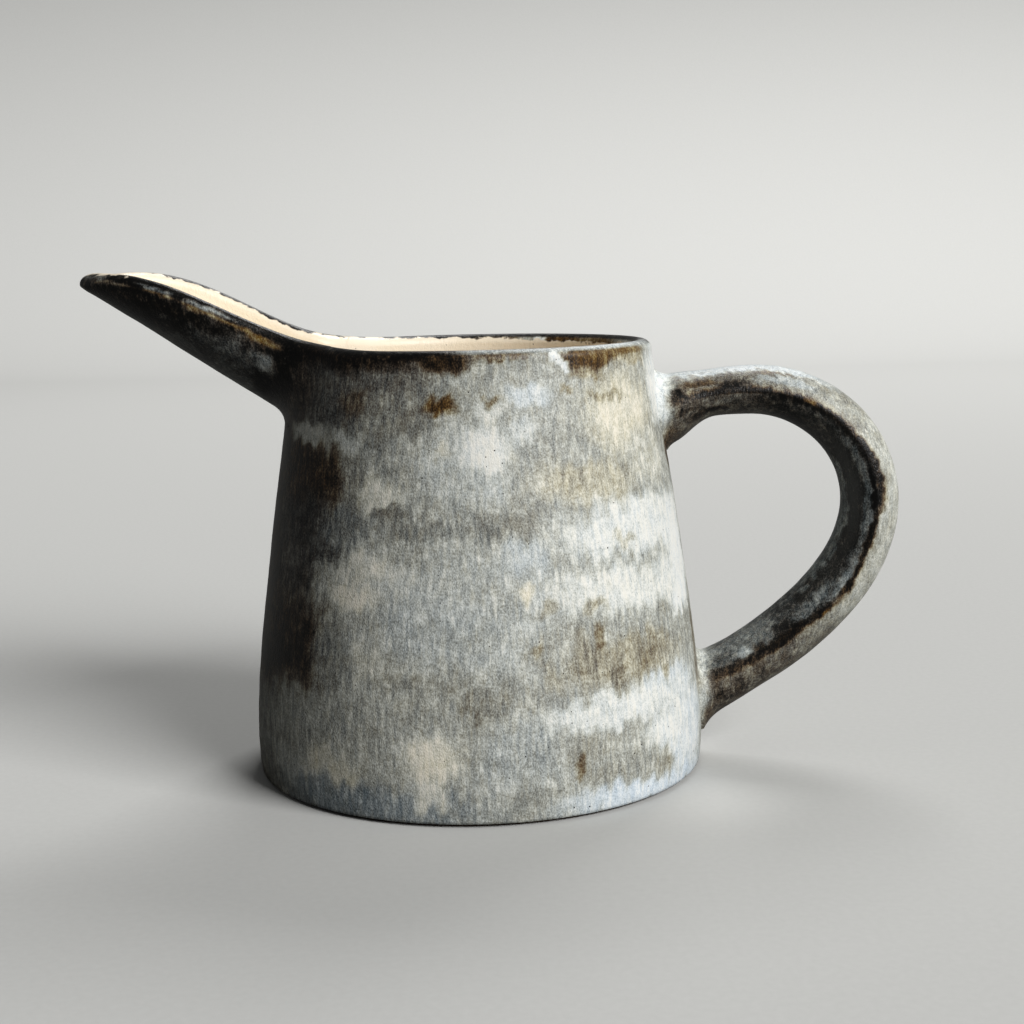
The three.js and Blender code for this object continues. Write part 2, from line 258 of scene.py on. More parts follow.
def wall_radius(z):
    rise = np.maximum(z - BELLY_HEIGHT, 0) / (RIM_HEIGHT - BELLY_HEIGHT)
    lean = np.hypot(rise, LEAN_SOFTNESS) - LEAN_SOFTNESS
    full_lean = math.hypot(1, LEAN_SOFTNESS) - LEAN_SOFTNESS
    tuck = FOOT_TUCK * np.maximum(1 - z / BELLY_HEIGHT, 0) ** 2
    return BELLY_RADIUS - (BELLY_RADIUS - RIM_RADIUS) * lean / full_lean - tuck


def outside_wall(points):
    return np.hypot(points[..., 0], points[..., 1]) - wall_radius(points[..., 2])


def outward(points):
    flat = points * (1, 1, 0)
    return flat / np.linalg.norm(flat, axis=-1, keepdims=True)


def outside_hollow(points):
    return outside_wall(points) + WALL


def spout_angle(points):
    return np.abs(np.arctan2(points[..., 1], -points[..., 0]))


def rim_lift(angle):
    return RIM_LIFT * ease(RIM_LIFT_HALF_ANGLE - angle, 0, RIM_LIFT_HALF_ANGLE)


print("belly radius", BELLY_RADIUS, "m, at half the height", wall_radius(RIM_HEIGHT / 2).round(4), "m")

# %% [markdown]
# ## Turning the wall
# The profile is drawn once, as half a section: up the outside, over the round lip, down the inside, through
# the coil in the corner and across the floor. Geometry Nodes then turn it about the axis, as the wheel
# does. A grid gets one column for each step round and one row for each point of the profile. Each vertex
# looks its profile point up and is carried round by its angle.

# %% Profile of the wall
GLAZE_EDGE = 0.0008
GLAZE_ROLL = ((0.0008, 0.00012), (0.0002, 0.00008))
BASE_SEAT_RADIUS = 0.046
BASE_SEAT_HEIGHT = 0.0052
WALL_ROWS = 150
LIP_ROWS = 16
INSIDE_ROWS = 40
COIL_ROWS = 8
FLOOR_ROWS = 10


# The glaze ends at the foot in a small roll, given by how far each of its points is set in and down
def wall_profile():
    lip = WALL / 2
    lip_height = RIM_HEIGHT - lip
    lip_middle = wall_radius(lip_height) - lip
    outside = np.linspace(GLAZE_EDGE, lip_height, WALL_ROWS)
    inside = np.linspace(lip_height, FLOOR + BASE_COIL, INSIDE_ROWS)
    over = np.linspace(0, math.pi, LIP_ROWS)[1:-1]
    corner = np.linspace(0, math.pi / 2, COIL_ROWS)[1:]
    corner_middle = wall_radius(FLOOR + BASE_COIL) - WALL - BASE_COIL
    floor_end = np.linspace(corner_middle, 0, FLOOR_ROWS)[1:]
    roll = [(wall_radius(GLAZE_EDGE) - inset, GLAZE_EDGE - drop) for inset, drop in GLAZE_ROLL]
    profile = [
        [(0, BASE_SEAT_HEIGHT), (BASE_SEAT_RADIUS, BASE_SEAT_HEIGHT), (BASE_SEAT_RADIUS, roll[-1][1])],
        roll,
        np.stack([wall_radius(outside), outside], 1),
        np.stack([lip_middle + lip * np.cos(over), lip_height + lip * np.sin(over)], 1),
        np.stack([wall_radius(inside) - WALL, inside], 1),
        np.stack([corner_middle + BASE_COIL * np.cos(corner), FLOOR + BASE_COIL * (1 - np.sin(corner))], 1),
        np.stack([floor_end, np.full(len(floor_end), FLOOR)], 1),
    ]
    return np.vstack(profile)


profile = wall_profile()
print("profile points", len(profile))

# %% A tree that turns a profile
WELD = 1e-6


def new_tree(name, inputs):
    tree = bpy.data.node_groups.new(name, "GeometryNodeTree")
    for socket, kind in inputs.items():
        tree.interface.new_socket(socket, in_out="INPUT", socket_type="NodeSocket" + kind)
    tree.interface.new_socket("Shape", in_out="OUTPUT", socket_type="NodeSocketGeometry")
    return tree, add(tree, "NodeGroupInput")


def end_tree(tree, shape, clay):
    shape = add(tree, "GeometryNodeMergeByDistance", {"Geometry": shape, "Distance": WELD})[0]
    shape = add(tree, "GeometryNodeRealizeInstances", {0: shape})[0]
    shape = add(tree, "GeometryNodeSetMaterial", {"Geometry": shape, "Material": clay})[0]
    add(tree, "NodeGroupOutput", {"Shape": shape})


def turning_tree():
    inputs = {"Profile": "Geometry", "Steps round": "Int", "Clay": "Material"}
    tree, given = new_tree("turn_on_the_wheel", inputs)
    place = add(tree, "GeometryNodeInputPosition")[0]
    size = add(tree, "GeometryNodeAttributeDomainSize", {0: given["Profile"]})["Point Count"]
    columns = add(tree, "ShaderNodeMath", {0: given["Steps round"], 1: 1.0}, operation="ADD")[0]
    grid = add(tree, "GeometryNodeMeshGrid", {"Vertices X": columns, "Vertices Y": size})["Mesh"]
    across = add(tree, "ShaderNodeSeparateXYZ", {0: place})
    angle = add(tree, "ShaderNodeMath", {0: across["X"], 1: 2 * math.pi}, operation="MULTIPLY")[0]
    last = add(tree, "ShaderNodeMath", {0: size, 1: 1.0}, operation="SUBTRACT")[0]
    share = add(tree, "ShaderNodeMath", {0: across["Y"], 1: 0.5}, operation="ADD")[0]
    row = add(tree, "ShaderNodeMath", {0: share, 1: last}, operation="MULTIPLY")[0]
    row = add(tree, "ShaderNodeMath", {0: row}, operation="ROUND")[0]
    drawn = add(tree, "GeometryNodeSampleIndex", {0: given["Profile"], "Value": place, "Index": row},
                data_type="FLOAT_VECTOR")[0]
    drawn = add(tree, "ShaderNodeSeparateXYZ", {0: drawn})
    swung = {2: drawn["Z"]}
    for axis, wave in enumerate(("COSINE", "SINE")):
        share = add(tree, "ShaderNodeMath", {0: angle}, operation=wave)[0]
        swung[axis] = add(tree, "ShaderNodeMath", {0: drawn["X"], 1: share}, operation="MULTIPLY")[0]
    turned_place = add(tree, "ShaderNodeCombineXYZ", swung)[0]
    shape = add(tree, "GeometryNodeSetPosition", {"Geometry": grid, "Position": turned_place})[0]
    end_tree(tree, shape, given["Clay"])
    return tree


TURNING = turning_tree()
print("turning tree", len(TURNING.nodes), "nodes")

# %% [markdown]
# ## From nodes to clay
# A modifier's result becomes a plain mesh before anything else happens to it, because the export keeps
# meshes only. Running a tree takes the points that it starts from and the values of its named inputs. Each
# input is set by its identifier before the object is evaluated for the first time. A grid brings an empty
# material slot along, which goes at once, so that faces cut later are glazed too.

# %% Run a tree on a drawn line
CREASE = math.radians(60)
EMPTY_SLOT = 0


def settle(piece, modifier):
    evaluated = piece.evaluated_get(bpy.context.evaluated_depsgraph_get())
    made = bpy.data.meshes.new_from_object(evaluated)
    piece.modifiers.remove(modifier)
    before = piece.data
    piece.data = made
    bpy.data.meshes.remove(before)
    made.name = piece.name


def run_tree(name, tree, line, values):
    piece = link_mesh(name, line, [], [(i, i + 1) for i in range(len(line) - 1)])
    modifier = piece.modifiers.new(tree.name, "NODES")
    modifier.node_group = tree
    for socket in tree.interface.items_tree:
        if socket.in_out == "INPUT" and socket.name in values:
            modifier[socket.identifier] = values[socket.name]
    settle(piece, modifier)
    piece.data.materials.pop(index=EMPTY_SLOT)
    return piece


def close_up(piece, sharp_angle=CREASE):
    shell = bmesh.new()
    shell.from_mesh(piece.data)
    bmesh.ops.remove_doubles(shell, verts=shell.verts, dist=WELD)
    bmesh.ops.recalc_face_normals(shell, faces=shell.faces)
    open_edges = sum(len(edge.link_faces) != 2 for edge in shell.edges)
    shell.to_mesh(piece.data)
    shell.free()
    piece.data.shade_smooth()
    piece.data.set_sharp_from_angle(angle=sharp_angle)
    triangles = sum(len(face.vertices) - 2 for face in piece.data.polygons)
    print(piece.name, triangles, "triangles,", open_edges, "open edges")


def corners_of(piece):
    flat = np.empty(len(piece.data.vertices) * 3)
    piece.data.vertices.foreach_get("co", flat)
    return flat.reshape(-1, 3)


def move_corners(piece, points):
    piece.data.vertices.foreach_set("co", points.ravel())
    piece.data.update()


# %% Turn the wall and lift its rim
TURN_STEPS = 384
glaze = bpy.data.materials.new("satin_reactive_glaze")
clay = bpy.data.materials.new("bare_fired_stoneware")


def turn(name, profile, material):
    line = [(radius, 0, height) for radius, height in profile]
    return run_tree(name, TURNING, line, {"Steps round": TURN_STEPS, "Clay": material})


def raise_rim(piece):
    points = corners_of(piece)
    high = ease(points[:, 2], RIM_HEIGHT - RIM_LIFT_DEPTH, RIM_HEIGHT)
    points[:, 2] += rim_lift(spout_angle(points)) * high
    move_corners(piece, points)


wall = turn("glazed_wall", profile, glaze)
raise_rim(wall)
close_up(wall)

# %% [markdown]
# ## The base
# Under the glaze line the foot is bare. A potter wipes it clean so that the jug doesn't stick to the kiln
# shelf. It is a flat disc with a softened edge, and it sits a little inside the wall, so a thin dark line
# of clay shows along the floor. Its step reaches up into the wall, so no light gets in between the two.

# %% Turn the base
FOOT_EDGE = 0.0007
FOOT_INSET = 0.0006
FOOT_ROWS = 8
BASE_TUCK = 0.0001
BASE_OVERLAP = 0.0006
BASE_CREASE = math.radians(40)


def base_profile():
    foot = float(wall_radius(0.0)) - FOOT_INSET
    round_off = np.linspace(0, math.pi / 2, FOOT_ROWS)
    edge = [(foot - FOOT_EDGE * (1 - math.sin(a)), FOOT_EDGE * (1 - math.cos(a))) for a in round_off]
    inner = BASE_SEAT_RADIUS - BASE_TUCK
    top = BASE_SEAT_HEIGHT - BASE_TUCK
    step = GLAZE_EDGE + BASE_OVERLAP
    return [(0, 0), *edge, (foot, step), (inner, step), (inner, top), (0, top)]


base = turn("bare_base", base_profile(), clay)
close_up(base, BASE_CREASE)

# %% [markdown]
# ## Working one piece into another
# Where two clay pieces meet, the potter fills the corner with a thumb. The hollow that this leaves touches
# both surfaces and eases from one to the other. If a point lies a distance d from the wall, the hollow
# stands off its own piece by o, where the square roots of d and o add up to that of the corner's reach.
# The helper pushes every point out along its own direction until that holds, by halving.

# %% Push points out into a worked corner
HALVINGS = 40


# Closes in on the place where the test turns from true to false, for all points at once
def halve(low, high, test):
    for _ in range(HALVINGS):
        middle = (low + high) / 2
        short = test(middle)
        low = np.where(short, middle, low)
        high = np.where(short, high, middle)
    return low, high


def work_in(points, out, reach, distance):
    def falls_short(push):
        gap = np.maximum(distance(points + out * push[..., None]), 0)
        return np.sqrt(push) + np.sqrt(gap) < np.sqrt(reach)

    start = np.zeros(points.shape[:-1])
    push, _ = halve(start, np.broadcast_to(reach, start.shape), falls_short)
    return points + out * push[..., None]


beside_rim = np.array([[RIM_RADIUS + 1 * MM, 0, RIM_HEIGHT]])
worked = work_in(beside_rim, np.array([[0, 0, -1.0]]), 4 * MM, outside_wall)
print("a corner of 4 mm, 1 mm from the wall, drops", round((RIM_HEIGHT - worked[0, 2]) / MM, 2), "mm")

# %% [markdown]
# ## The spout
# The spout is an open half-round trough, pinched to a thin nose. Seen from the side its lip rises in a long
# S from the rim, and its keel is a straight line from the wall to the tip. Each line of the hull runs from
# root to tip, so the skin is a grid of hull lines by rows. The outside is worked into the outer wall, the
# trough into the inner one, and a round lip joins the two along both sides and round the nose.

# %% Outline of the spout
SPOUT_REACH = 0.046
SPOUT_RISE = 0.015
SPOUT_DROP = 0.015
SPOUT_WIDTH = 0.035
SPOUT_WALL = 0.0034
NOSE_LIP = 0.007
SPOUT_TIP_DEPTH = 0.0014
SPOUT_CREST = 0.0076
SPOUT_CREST_SHARE = 0.53
SPOUT_EASE = 0.009
SPOUT_LIP = 0.0023
LIP_TIP_SHARE = 0.6
NEAR_LIP_SAG = 0.0007
CURVE_STEPS = 400

spout_tip = RIM_RADIUS + SPOUT_REACH
trough_tip = spout_tip - NOSE_LIP
tip_height = RIM_HEIGHT + SPOUT_RISE
keel_root_height = RIM_HEIGHT - SPOUT_DROP
keel_root = float(wall_radius(keel_root_height))
keel_rise = (tip_height - SPOUT_TIP_DEPTH - keel_root_height) / (spout_tip - keel_root)
nose_start = RIM_RADIUS + SPOUT_EASE / 2


def bezier(corners, steps=CURVE_STEPS):
    t = np.linspace(0, 1, steps)[:, None]
    a, b, c, d = np.array(corners, float)
    return (1 - t) ** 3 * a + 3 * (1 - t) ** 2 * t * b + 3 * (1 - t) * t * t * c + t ** 3 * d


lip_line = bezier([
    (RIM_RADIUS - SPOUT_EASE, RIM_HEIGHT + RIM_LIFT / 2),
    (RIM_RADIUS + SPOUT_EASE, RIM_HEIGHT + RIM_LIFT),
    (mix(RIM_RADIUS, spout_tip, SPOUT_CREST_SHARE), tip_height + SPOUT_CREST),
    (spout_tip, tip_height),
])


def lip_height(s):
    on_rim = RIM_HEIGHT + rim_lift(np.arccos(np.clip(s / RIM_MIDDLE, -1, 1)))
    on_spout = np.interp(s, lip_line[:, 0], lip_line[:, 1])
    return mix(on_rim, on_spout, ease(s, RIM_RADIUS - SPOUT_EASE, RIM_RADIUS))


def keel_height(s):
    return keel_root_height + (s - keel_root) * keel_rise


def near_sag(s):
    along = ease(s, RIM_RADIUS, RIM_RADIUS + SPOUT_REACH / 2) * ease(trough_tip - s, 0, SPOUT_EASE)
    return NEAR_LIP_SAG * along * (1 + np.cos(line_angles)) / 2


def lip_round(s):
    thin = np.minimum(SPOUT_LIP, LIP_TIP_SHARE * (lip_height(s) - keel_height(s)))
    return mix(WALL / 2, thin, ease(s, RIM_RADIUS - SPOUT_EASE, RIM_RADIUS + SPOUT_EASE / 2))


keel_slope = math.degrees(math.atan(keel_rise))
print("spout tip", round(spout_tip, 4), "keel slope", round(keel_slope, 1), "degrees")

# %% Hull lines and rows of the spout
SIDE_REACH = 0.0095
KEEL_REACH = 0.0026
TROUGH_REACH = 0.005
ROOT_SINK = 0.0006
TROUGH_PROUD = 0.00006
TUCK = (0.0003, 0.00014, 0.00005)
HULL_LINES = 56
HULL_ROWS = 120
LIP_LINES = 12
LEAST_DEPTH = 0.00005
ROW_EASE = 0.7

line_angles = np.linspace(0, math.pi, HULL_LINES + 1)
row_shares = np.linspace(0, 1, HULL_ROWS + 1)
row_shares = mix(row_shares, ease(row_shares, 0, 1), ROW_EASE)


def hull(s, inset, tip):
    along = np.clip((s - nose_start) / (tip - nose_start), 0, 1)
    half = (SPOUT_WIDTH / 2 - inset) * np.sqrt(1 - along ** 2)
    top = lip_height(s) - near_sag(s) - lip_round(s)
    depth = np.maximum(top - keel_height(s) - inset * math.hypot(1, keel_rise), LEAST_DEPTH)
    across, down = -np.cos(line_angles), -np.sin(line_angles)
    point = np.stack([-s, half * across, top + depth * down], -1)
    out = np.stack([0 * s, (depth + LEAST_DEPTH) * across, (half + LEAST_DEPTH) * down], -1)
    return point, out / np.linalg.norm(out, axis=-1, keepdims=True)


def root_places(inset, tip, reach, distance, sink):
    def in_clay(s):
        point, out = hull(s, inset, tip)
        return distance(point + out * reach[:, None]) < -sink

    low = np.full(len(line_angles), RIM_RADIUS - 3 * SPOUT_EASE)
    high = np.full(len(line_angles), RIM_RADIUS + SPOUT_EASE)
    return halve(low, high, in_clay)[1]


def hull_skin(inset, tip, reach, distance, sink):
    start = root_places(inset, tip, reach, distance, sink)
    s = start + (tip - start) * row_shares[:, None]
    point, out = hull(s, inset, tip)
    return work_in(point, out, reach, distance)


# The trough's skin lies a hair proud of the inner wall, and its first rows dip into it, so no slit can show
def proud_of_hollow(points):
    return outside_hollow(points) + TROUGH_PROUD


def tuck_first_rows(skin):
    for row, depth in enumerate(TUCK):
        skin[row] += outward(skin[row]) * depth
    return skin


side_share = np.sin(line_angles) ** 2
outer_reach = mix(SIDE_REACH, KEEL_REACH, side_share)
outer_skin = hull_skin(0, spout_tip, outer_reach, outside_wall, ROOT_SINK)
trough_reach = np.full(len(line_angles), TROUGH_REACH)
trough_skin = tuck_first_rows(hull_skin(SPOUT_WALL, trough_tip, trough_reach, proud_of_hollow, 0))
print("spout root from", outer_skin[0].min(0).round(4), "to", outer_skin[0].max(0).round(4))

# %% Join the two skins of the spout
RING = 2 * (HULL_LINES + 1) + 2 * LIP_LINES


def lip_arc(start, end):
    over = np.linspace(0, math.pi, LIP_LINES + 2)[1:-1, None]
    height = lip_round(-(start[:, 0] + end[:, 0]) / 2)
    middle = (start + end) / 2
    across = (end - start) / 2
    rise = np.stack([0 * height, 0 * height, height], 1)
    return middle[:, None] - across[:, None] * np.cos(over) + rise[:, None] * np.sin(over)


def ring_faces(rows, count):
    faces = []
    for row in range(rows):
        for i in range(count):
            a, b = row * count + i, row * count + (i + 1) % count
            faces.append((a, b, b + count, a + count))
    return faces


def write_values(piece, name, values):
    attribute = piece.data.attributes.new(name, "FLOAT", "POINT")
    attribute.data.foreach_set("value", values.ravel().astype(np.float32))


def make_spout():
    far_lip = lip_arc(outer_skin[:, -1], trough_skin[:, -1])
    near_lip = lip_arc(trough_skin[:, 0], outer_skin[:, 0])
    rings = np.concatenate([outer_skin, far_lip, trough_skin[:, ::-1], near_lip], 1)
    near_top, far_top = near_lip[..., 2].max(1), far_lip[..., 2].max(1)
    outer_tops = mix(near_top, far_top, ease(line_angles, 0, math.pi)[:, None]).T
    far_tops = np.repeat(far_top[:, None], LIP_LINES, 1)
    near_tops = np.repeat(near_top[:, None], LIP_LINES, 1)
    tops = np.concatenate([outer_tops, far_tops, outer_tops[:, ::-1], near_tops], 1)
    side = np.where(np.arange(LIP_LINES) < LIP_LINES / 2, -1, 1)
    side = np.concatenate([np.full(HULL_LINES + 1, -1), side, np.full(HULL_LINES + 1, 1), -side])
    inward = side * (tops - rings[..., 2])
    faces = ring_faces(HULL_ROWS, RING)
    trough_start = HULL_LINES + 1 + LIP_LINES
    for i in range(HULL_LINES):
        inner = trough_start + HULL_LINES - i
        faces.append((i + 1, i, inner, inner - 1))
    faces.append(tuple(range(HULL_LINES, trough_start + 1))[::-1])
    faces.append((*range(trough_start + HULL_LINES, RING), 0)[::-1])
    made = link_mesh("glazed_spout", rings.reshape(-1, 3), faces)
    made.data.materials.append(glaze)
    write_values(made, "inward", inward)
    return made


spout = make_spout()
close_up(spout)

# %% [markdown]
# ## Opening the wall into the spout
# The wall still runs across the trough, so its rim is cut away there. The knife follows the middle of the
# spout's clay, where nobody will ever see the cut: it starts where the trough meets the inside of the wall,
# goes through the wall and then runs on between the spout's two skins.

# %% Cut the wall
KNIFE_ROW = 4
KNIFE_STEP = 8
KNIFE_INSIDE = 0.7
KNIFE_END = 0.05
KNIFE_TOP = 0.012


def knife_rings():
    edge = trough_skin[KNIFE_ROW]
    radial = np.array([1, 1, 0])
    radius = np.hypot(edge[:, 0], edge[:, 1])[:, None]
    rings = [edge * mix(1, KNIFE_INSIDE, radial), edge, edge + edge * radial / radius * WALL / 2]
    middle = (outer_skin + trough_skin) / 2
    far_enough = outside_wall(outer_skin).min(1) > SIDE_REACH / 2
    for row in np.flatnonzero(far_enough)[::KNIFE_STEP]:
        if -middle[row, HULL_LINES // 2, 0] < KNIFE_END:
            rings.append(middle[row])
    return rings


def make_knife():
    rings = []
    for ring in knife_rings():
        top = ring[[-1, 0]] + (0, 0, KNIFE_TOP)
        rings.append(np.vstack([ring, top]))
    count = len(rings[0])
    faces = [tuple(range(count)), tuple(range(len(rings) * count - count, len(rings) * count))]
    faces += ring_faces(len(rings) - 1, count)
    knife = link_mesh("knife", np.vstack(rings), faces)
    shell = bmesh.new()
    shell.from_mesh(knife.data)
    bmesh.ops.triangulate(shell, faces=shell.faces)
    bmesh.ops.recalc_face_normals(shell, faces=shell.faces)
    shell.to_mesh(knife.data)
    shell.free()
    return knife


def cut(piece, knife):
    modifier = piece.modifiers.new("opening", "BOOLEAN")
    modifier.object = knife
    modifier.operation = "DIFFERENCE"
    modifier.solver = "EXACT"
    settle(piece, modifier)
    bpy.data.objects.remove(knife)


print("knife rings", len(knife_rings()))
cut(wall, make_knife())
close_up(wall)

# %% [markdown]
# ## The handle
# A pulled handle is a strap of wet clay, thinned by hand and bent into a loop. Its mid-line leaves the wall
# upwards, goes over a crest, round a bend and back in a long return. Geometry Nodes sweep an oval along that
# line: each row samples the line, and the oval thickens along the way and spreads at the two roots. The
# sides of the oval are a little pointed, which gives the soft ridge that the glaze breaks on.

# %% Mid-line of the handle
UPPER_ROOT_DROP = 0.0162
UPPER_ROOT_SLOPE = math.radians(30)
CREST_DROP = 0.0118
CREST_OUT = 0.022
BEND_OUT = 0.0489
BEND_HEIGHT = 0.057
LOWER_ROOT_HEIGHT = 0.0153
LOWER_ROOT_SLOPE = math.radians(25.8)
ROOT_DEPTH = 0.009
UPPER_ROOT_PULL = 0.3
CREST_PULL = 0.5
QUARTER_PULL = 0.5523
BEND_PULL = 0.41
LOWER_ROOT_PULL = 0.53


def handle_line():
    upper = np.array([float(wall_radius(RIM_HEIGHT - UPPER_ROOT_DROP)), RIM_HEIGHT - UPPER_ROOT_DROP])
    lower = np.array([float(wall_radius(LOWER_ROOT_HEIGHT)), LOWER_ROOT_HEIGHT])
    crest = np.array([RIM_RADIUS + CREST_OUT, RIM_HEIGHT - CREST_DROP])
    bend = np.array([RIM_RADIUS + BEND_OUT, BEND_HEIGHT])
    upper_way = np.array([math.cos(UPPER_ROOT_SLOPE), math.sin(UPPER_ROOT_SLOPE)])
    lower_way = np.array([math.cos(LOWER_ROOT_SLOPE), math.sin(LOWER_ROOT_SLOPE)])
    out, rise = np.array([1, 0]), np.array([0, 1])
    reach, fall = crest - upper, bend - lower
    quarter = (bend - crest) * QUARTER_PULL
    after_upper = upper + upper_way * reach[0] * UPPER_ROOT_PULL
    before_lower = lower + lower_way * fall[1] * LOWER_ROOT_PULL
    over = bezier([upper, after_upper, crest - out * reach[0] * CREST_PULL, crest])
    down = bezier([crest, crest + out * quarter, bend - rise * quarter, bend])
    back = bezier([bend, bend - rise * fall[1] * BEND_PULL, before_lower, lower])
    start, end = upper - upper_way * ROOT_DEPTH, lower - lower_way * ROOT_DEPTH
    return [(x, 0, z) for x, z in np.vstack([start, over, down[1:], back[1:], end])]


print("handle line points", len(handle_line()))

# %% A tree that sweeps the strap
STRAP_SIZES = ("Half width", "Crest half", "Lower half", "Thicken start", "Thicken end", "Upper spread",
               "Lower spread", "Spread start", "Spread end", "Spread aside", "Ridge")
END_SLICE = 1e-4


def strap_tree():
    inputs = {"Line": "Geometry", "Rows": "Int", "Points round": "Int", "Clay": "Material"}
    tree, given = new_tree("pull_a_strap", inputs | dict.fromkeys(STRAP_SIZES, "Float"))
    line = add(tree, "GeometryNodeMeshToCurve", {0: given["Line"]})[0]
    length = add(tree, "GeometryNodeCurveLength", {0: line})[0]
    columns = add(tree, "ShaderNodeMath", {0: given["Points round"], 1: 1.0}, operation="ADD")[0]
    counts = {"Vertices X": given["Rows"], "Vertices Y": columns}
    grid = add(tree, "GeometryNodeMeshGrid", counts)["Mesh"]
    place = add(tree, "GeometryNodeInputPosition")[0]
    split = add(tree, "ShaderNodeSeparateXYZ", {0: place})
    along = add(tree, "ShaderNodeMath", {0: split["X"], 1: 0.5}, operation="ADD")[0]
    angle = add(tree, "ShaderNodeMath", {0: split["Y"], 1: 2 * math.pi}, operation="MULTIPLY")[0]
    spot = add(tree, "GeometryNodeSampleCurve", {"Curves": line, "Factor": along}, mode="FACTOR")

    thick = add(tree, "ShaderNodeMapRange", {
        "Value": along, "From Min": given["Thicken start"], "From Max": given["Thicken end"],
        "To Min": given["Crest half"], "To Max": given["Lower half"],
    }, interpolation_type="SMOOTHSTEP")[0]
    from_upper = add(tree, "ShaderNodeMath", {0: along, 1: length}, operation="MULTIPLY")[0]
    from_lower = add(tree, "ShaderNodeMath", {0: length, 1: from_upper}, operation="SUBTRACT")[0]
    spread = 0.0
    for name, distance in (("Upper spread", from_upper), ("Lower spread", from_lower)):
        wider = add(tree, "ShaderNodeMapRange", {
            "Value": distance, "From Min": given["Spread start"], "From Max": given["Spread end"],
            "To Min": given[name], "To Max": 0.0,
        }, interpolation_type="SMOOTHSTEP")[0]
        spread = add(tree, "ShaderNodeMath", {0: spread, 1: wider}, operation="ADD")[0]
    half_thick = add(tree, "ShaderNodeMath", {0: thick, 1: spread}, operation="ADD")[0]
    widened = {0: spread, 1: given["Spread aside"], 2: given["Half width"]}
    half_wide = add(tree, "ShaderNodeMath", widened, operation="MULTIPLY_ADD")[0]

    side = add(tree, "ShaderNodeMath", {0: angle}, operation="COSINE")[0]
    face = add(tree, "ShaderNodeMath", {0: angle}, operation="SINE")[0]
    steep = add(tree, "ShaderNodeMath", {0: face}, operation="ABSOLUTE")[0]
    steep = add(tree, "ShaderNodeMath", {0: steep, 1: given["Ridge"]}, operation="POWER")[0]
    rise = add(tree, "ShaderNodeMath", {0: face, 1: steep}, operation="MULTIPLY")[0]
    rise = add(tree, "ShaderNodeMath", {0: rise, 1: half_thick}, operation="MULTIPLY")[0]
    reach = add(tree, "ShaderNodeMath", {0: side, 1: half_wide}, operation="MULTIPLY")[0]
    face_way = add(tree, "ShaderNodeMath", {0: face, 1: half_thick}, operation="DIVIDE")[0]
    side_way = add(tree, "ShaderNodeMath", {0: side, 1: half_wide}, operation="DIVIDE")[0]

    tangent = {0: spot["Tangent"], 1: (0, 1, 0)}
    across = add(tree, "ShaderNodeVectorMath", tangent, operation="CROSS_PRODUCT")[0]
    ways = []
    for lift, sideways in ((rise, reach), (face_way, side_way)):
        lifted = add(tree, "ShaderNodeVectorMath", {0: across, "Scale": lift}, operation="SCALE")[0]
        aside = add(tree, "ShaderNodeCombineXYZ", {1: sideways})[0]
        ways.append(add(tree, "ShaderNodeVectorMath", {0: lifted, 1: aside}, operation="ADD")[0])
    middle_part = {0: along, 1: 0.5, 2: 0.5 - END_SLICE}
    inside = add(tree, "ShaderNodeMath", middle_part, operation="COMPARE")[0]
    offset = add(tree, "ShaderNodeVectorMath", {0: ways[0], "Scale": inside}, operation="SCALE")[0]
    swept = add(tree, "ShaderNodeVectorMath", {0: spot["Position"], 1: offset}, operation="ADD")[0]
    out = add(tree, "ShaderNodeVectorMath", {0: ways[1]}, operation="NORMALIZE")[0]

    shape = grid
    kept = {"along": (along, "FLOAT"), "face": (face, "FLOAT"), "out": (out, "FLOAT_VECTOR")}
    for name, (value, kind) in kept.items():
        values = {"Geometry": shape, "Name": name, "Value": value}
        shape = add(tree, "GeometryNodeStoreNamedAttribute", values, data_type=kind, domain="POINT")[0]
    shape = add(tree, "GeometryNodeSetPosition", {"Geometry": shape, "Position": swept})[0]
    end_tree(tree, shape, given["Clay"])
    return tree


STRAP = strap_tree()
print("strap tree", len(STRAP.nodes), "nodes")

# %% Sweep the strap and work its roots in
HANDLE_WIDTH = 0.017
CREST_THICKNESS = 0.0111
LOWER_THICKNESS = 0.0136
SPREAD_LENGTH = 0.012
UPPER_REACH = {"above": 0.0042, "below": 0.0022}
LOWER_REACH = {"above": 0.0026, "below": 0.0062}
SKIRT_SINK = 0.0004
BURIED = 0.0012

strap_values = {
    "Rows": 280,
    "Points round": 72,
    "Half width": HANDLE_WIDTH / 2,
    "Crest half": CREST_THICKNESS / 2,
    "Lower half": LOWER_THICKNESS / 2,
    "Thicken start": 0.12,
    "Thicken end": 0.6,
    "Upper spread": 0.0022,
    "Lower spread": 0.0006,
    "Spread start": ROOT_DEPTH,
    "Spread end": ROOT_DEPTH + SPREAD_LENGTH,
    "Spread aside": 0.5,
    "Ridge": 0.22,
    "Clay": glaze,
}


def read_values(piece, name, width=1):
    flat = np.empty(len(piece.data.vertices) * width)
    piece.data.attributes[name].data.foreach_get("value" if width == 1 else "vector", flat)
    return flat.reshape(-1, width) if width > 1 else flat


# Clay that would reach through the wall is pressed flat in the middle of it
def trim_ends(points):
    too_deep = np.maximum(-outside_wall(points) - WALL / 2, 0)
    return points + outward(points) * too_deep[:, None]


def outside_sunk_wall(points):
    return outside_wall(points) + SKIRT_SINK


# Clay that started inside the wall stays there, also where the foot tucks in below it
def keep_buried(started, worked):
    too_far = np.maximum(outside_wall(worked) + BURIED, 0) * (outside_sunk_wall(started) < 0)
    return worked - outward(worked) * too_far[:, None]


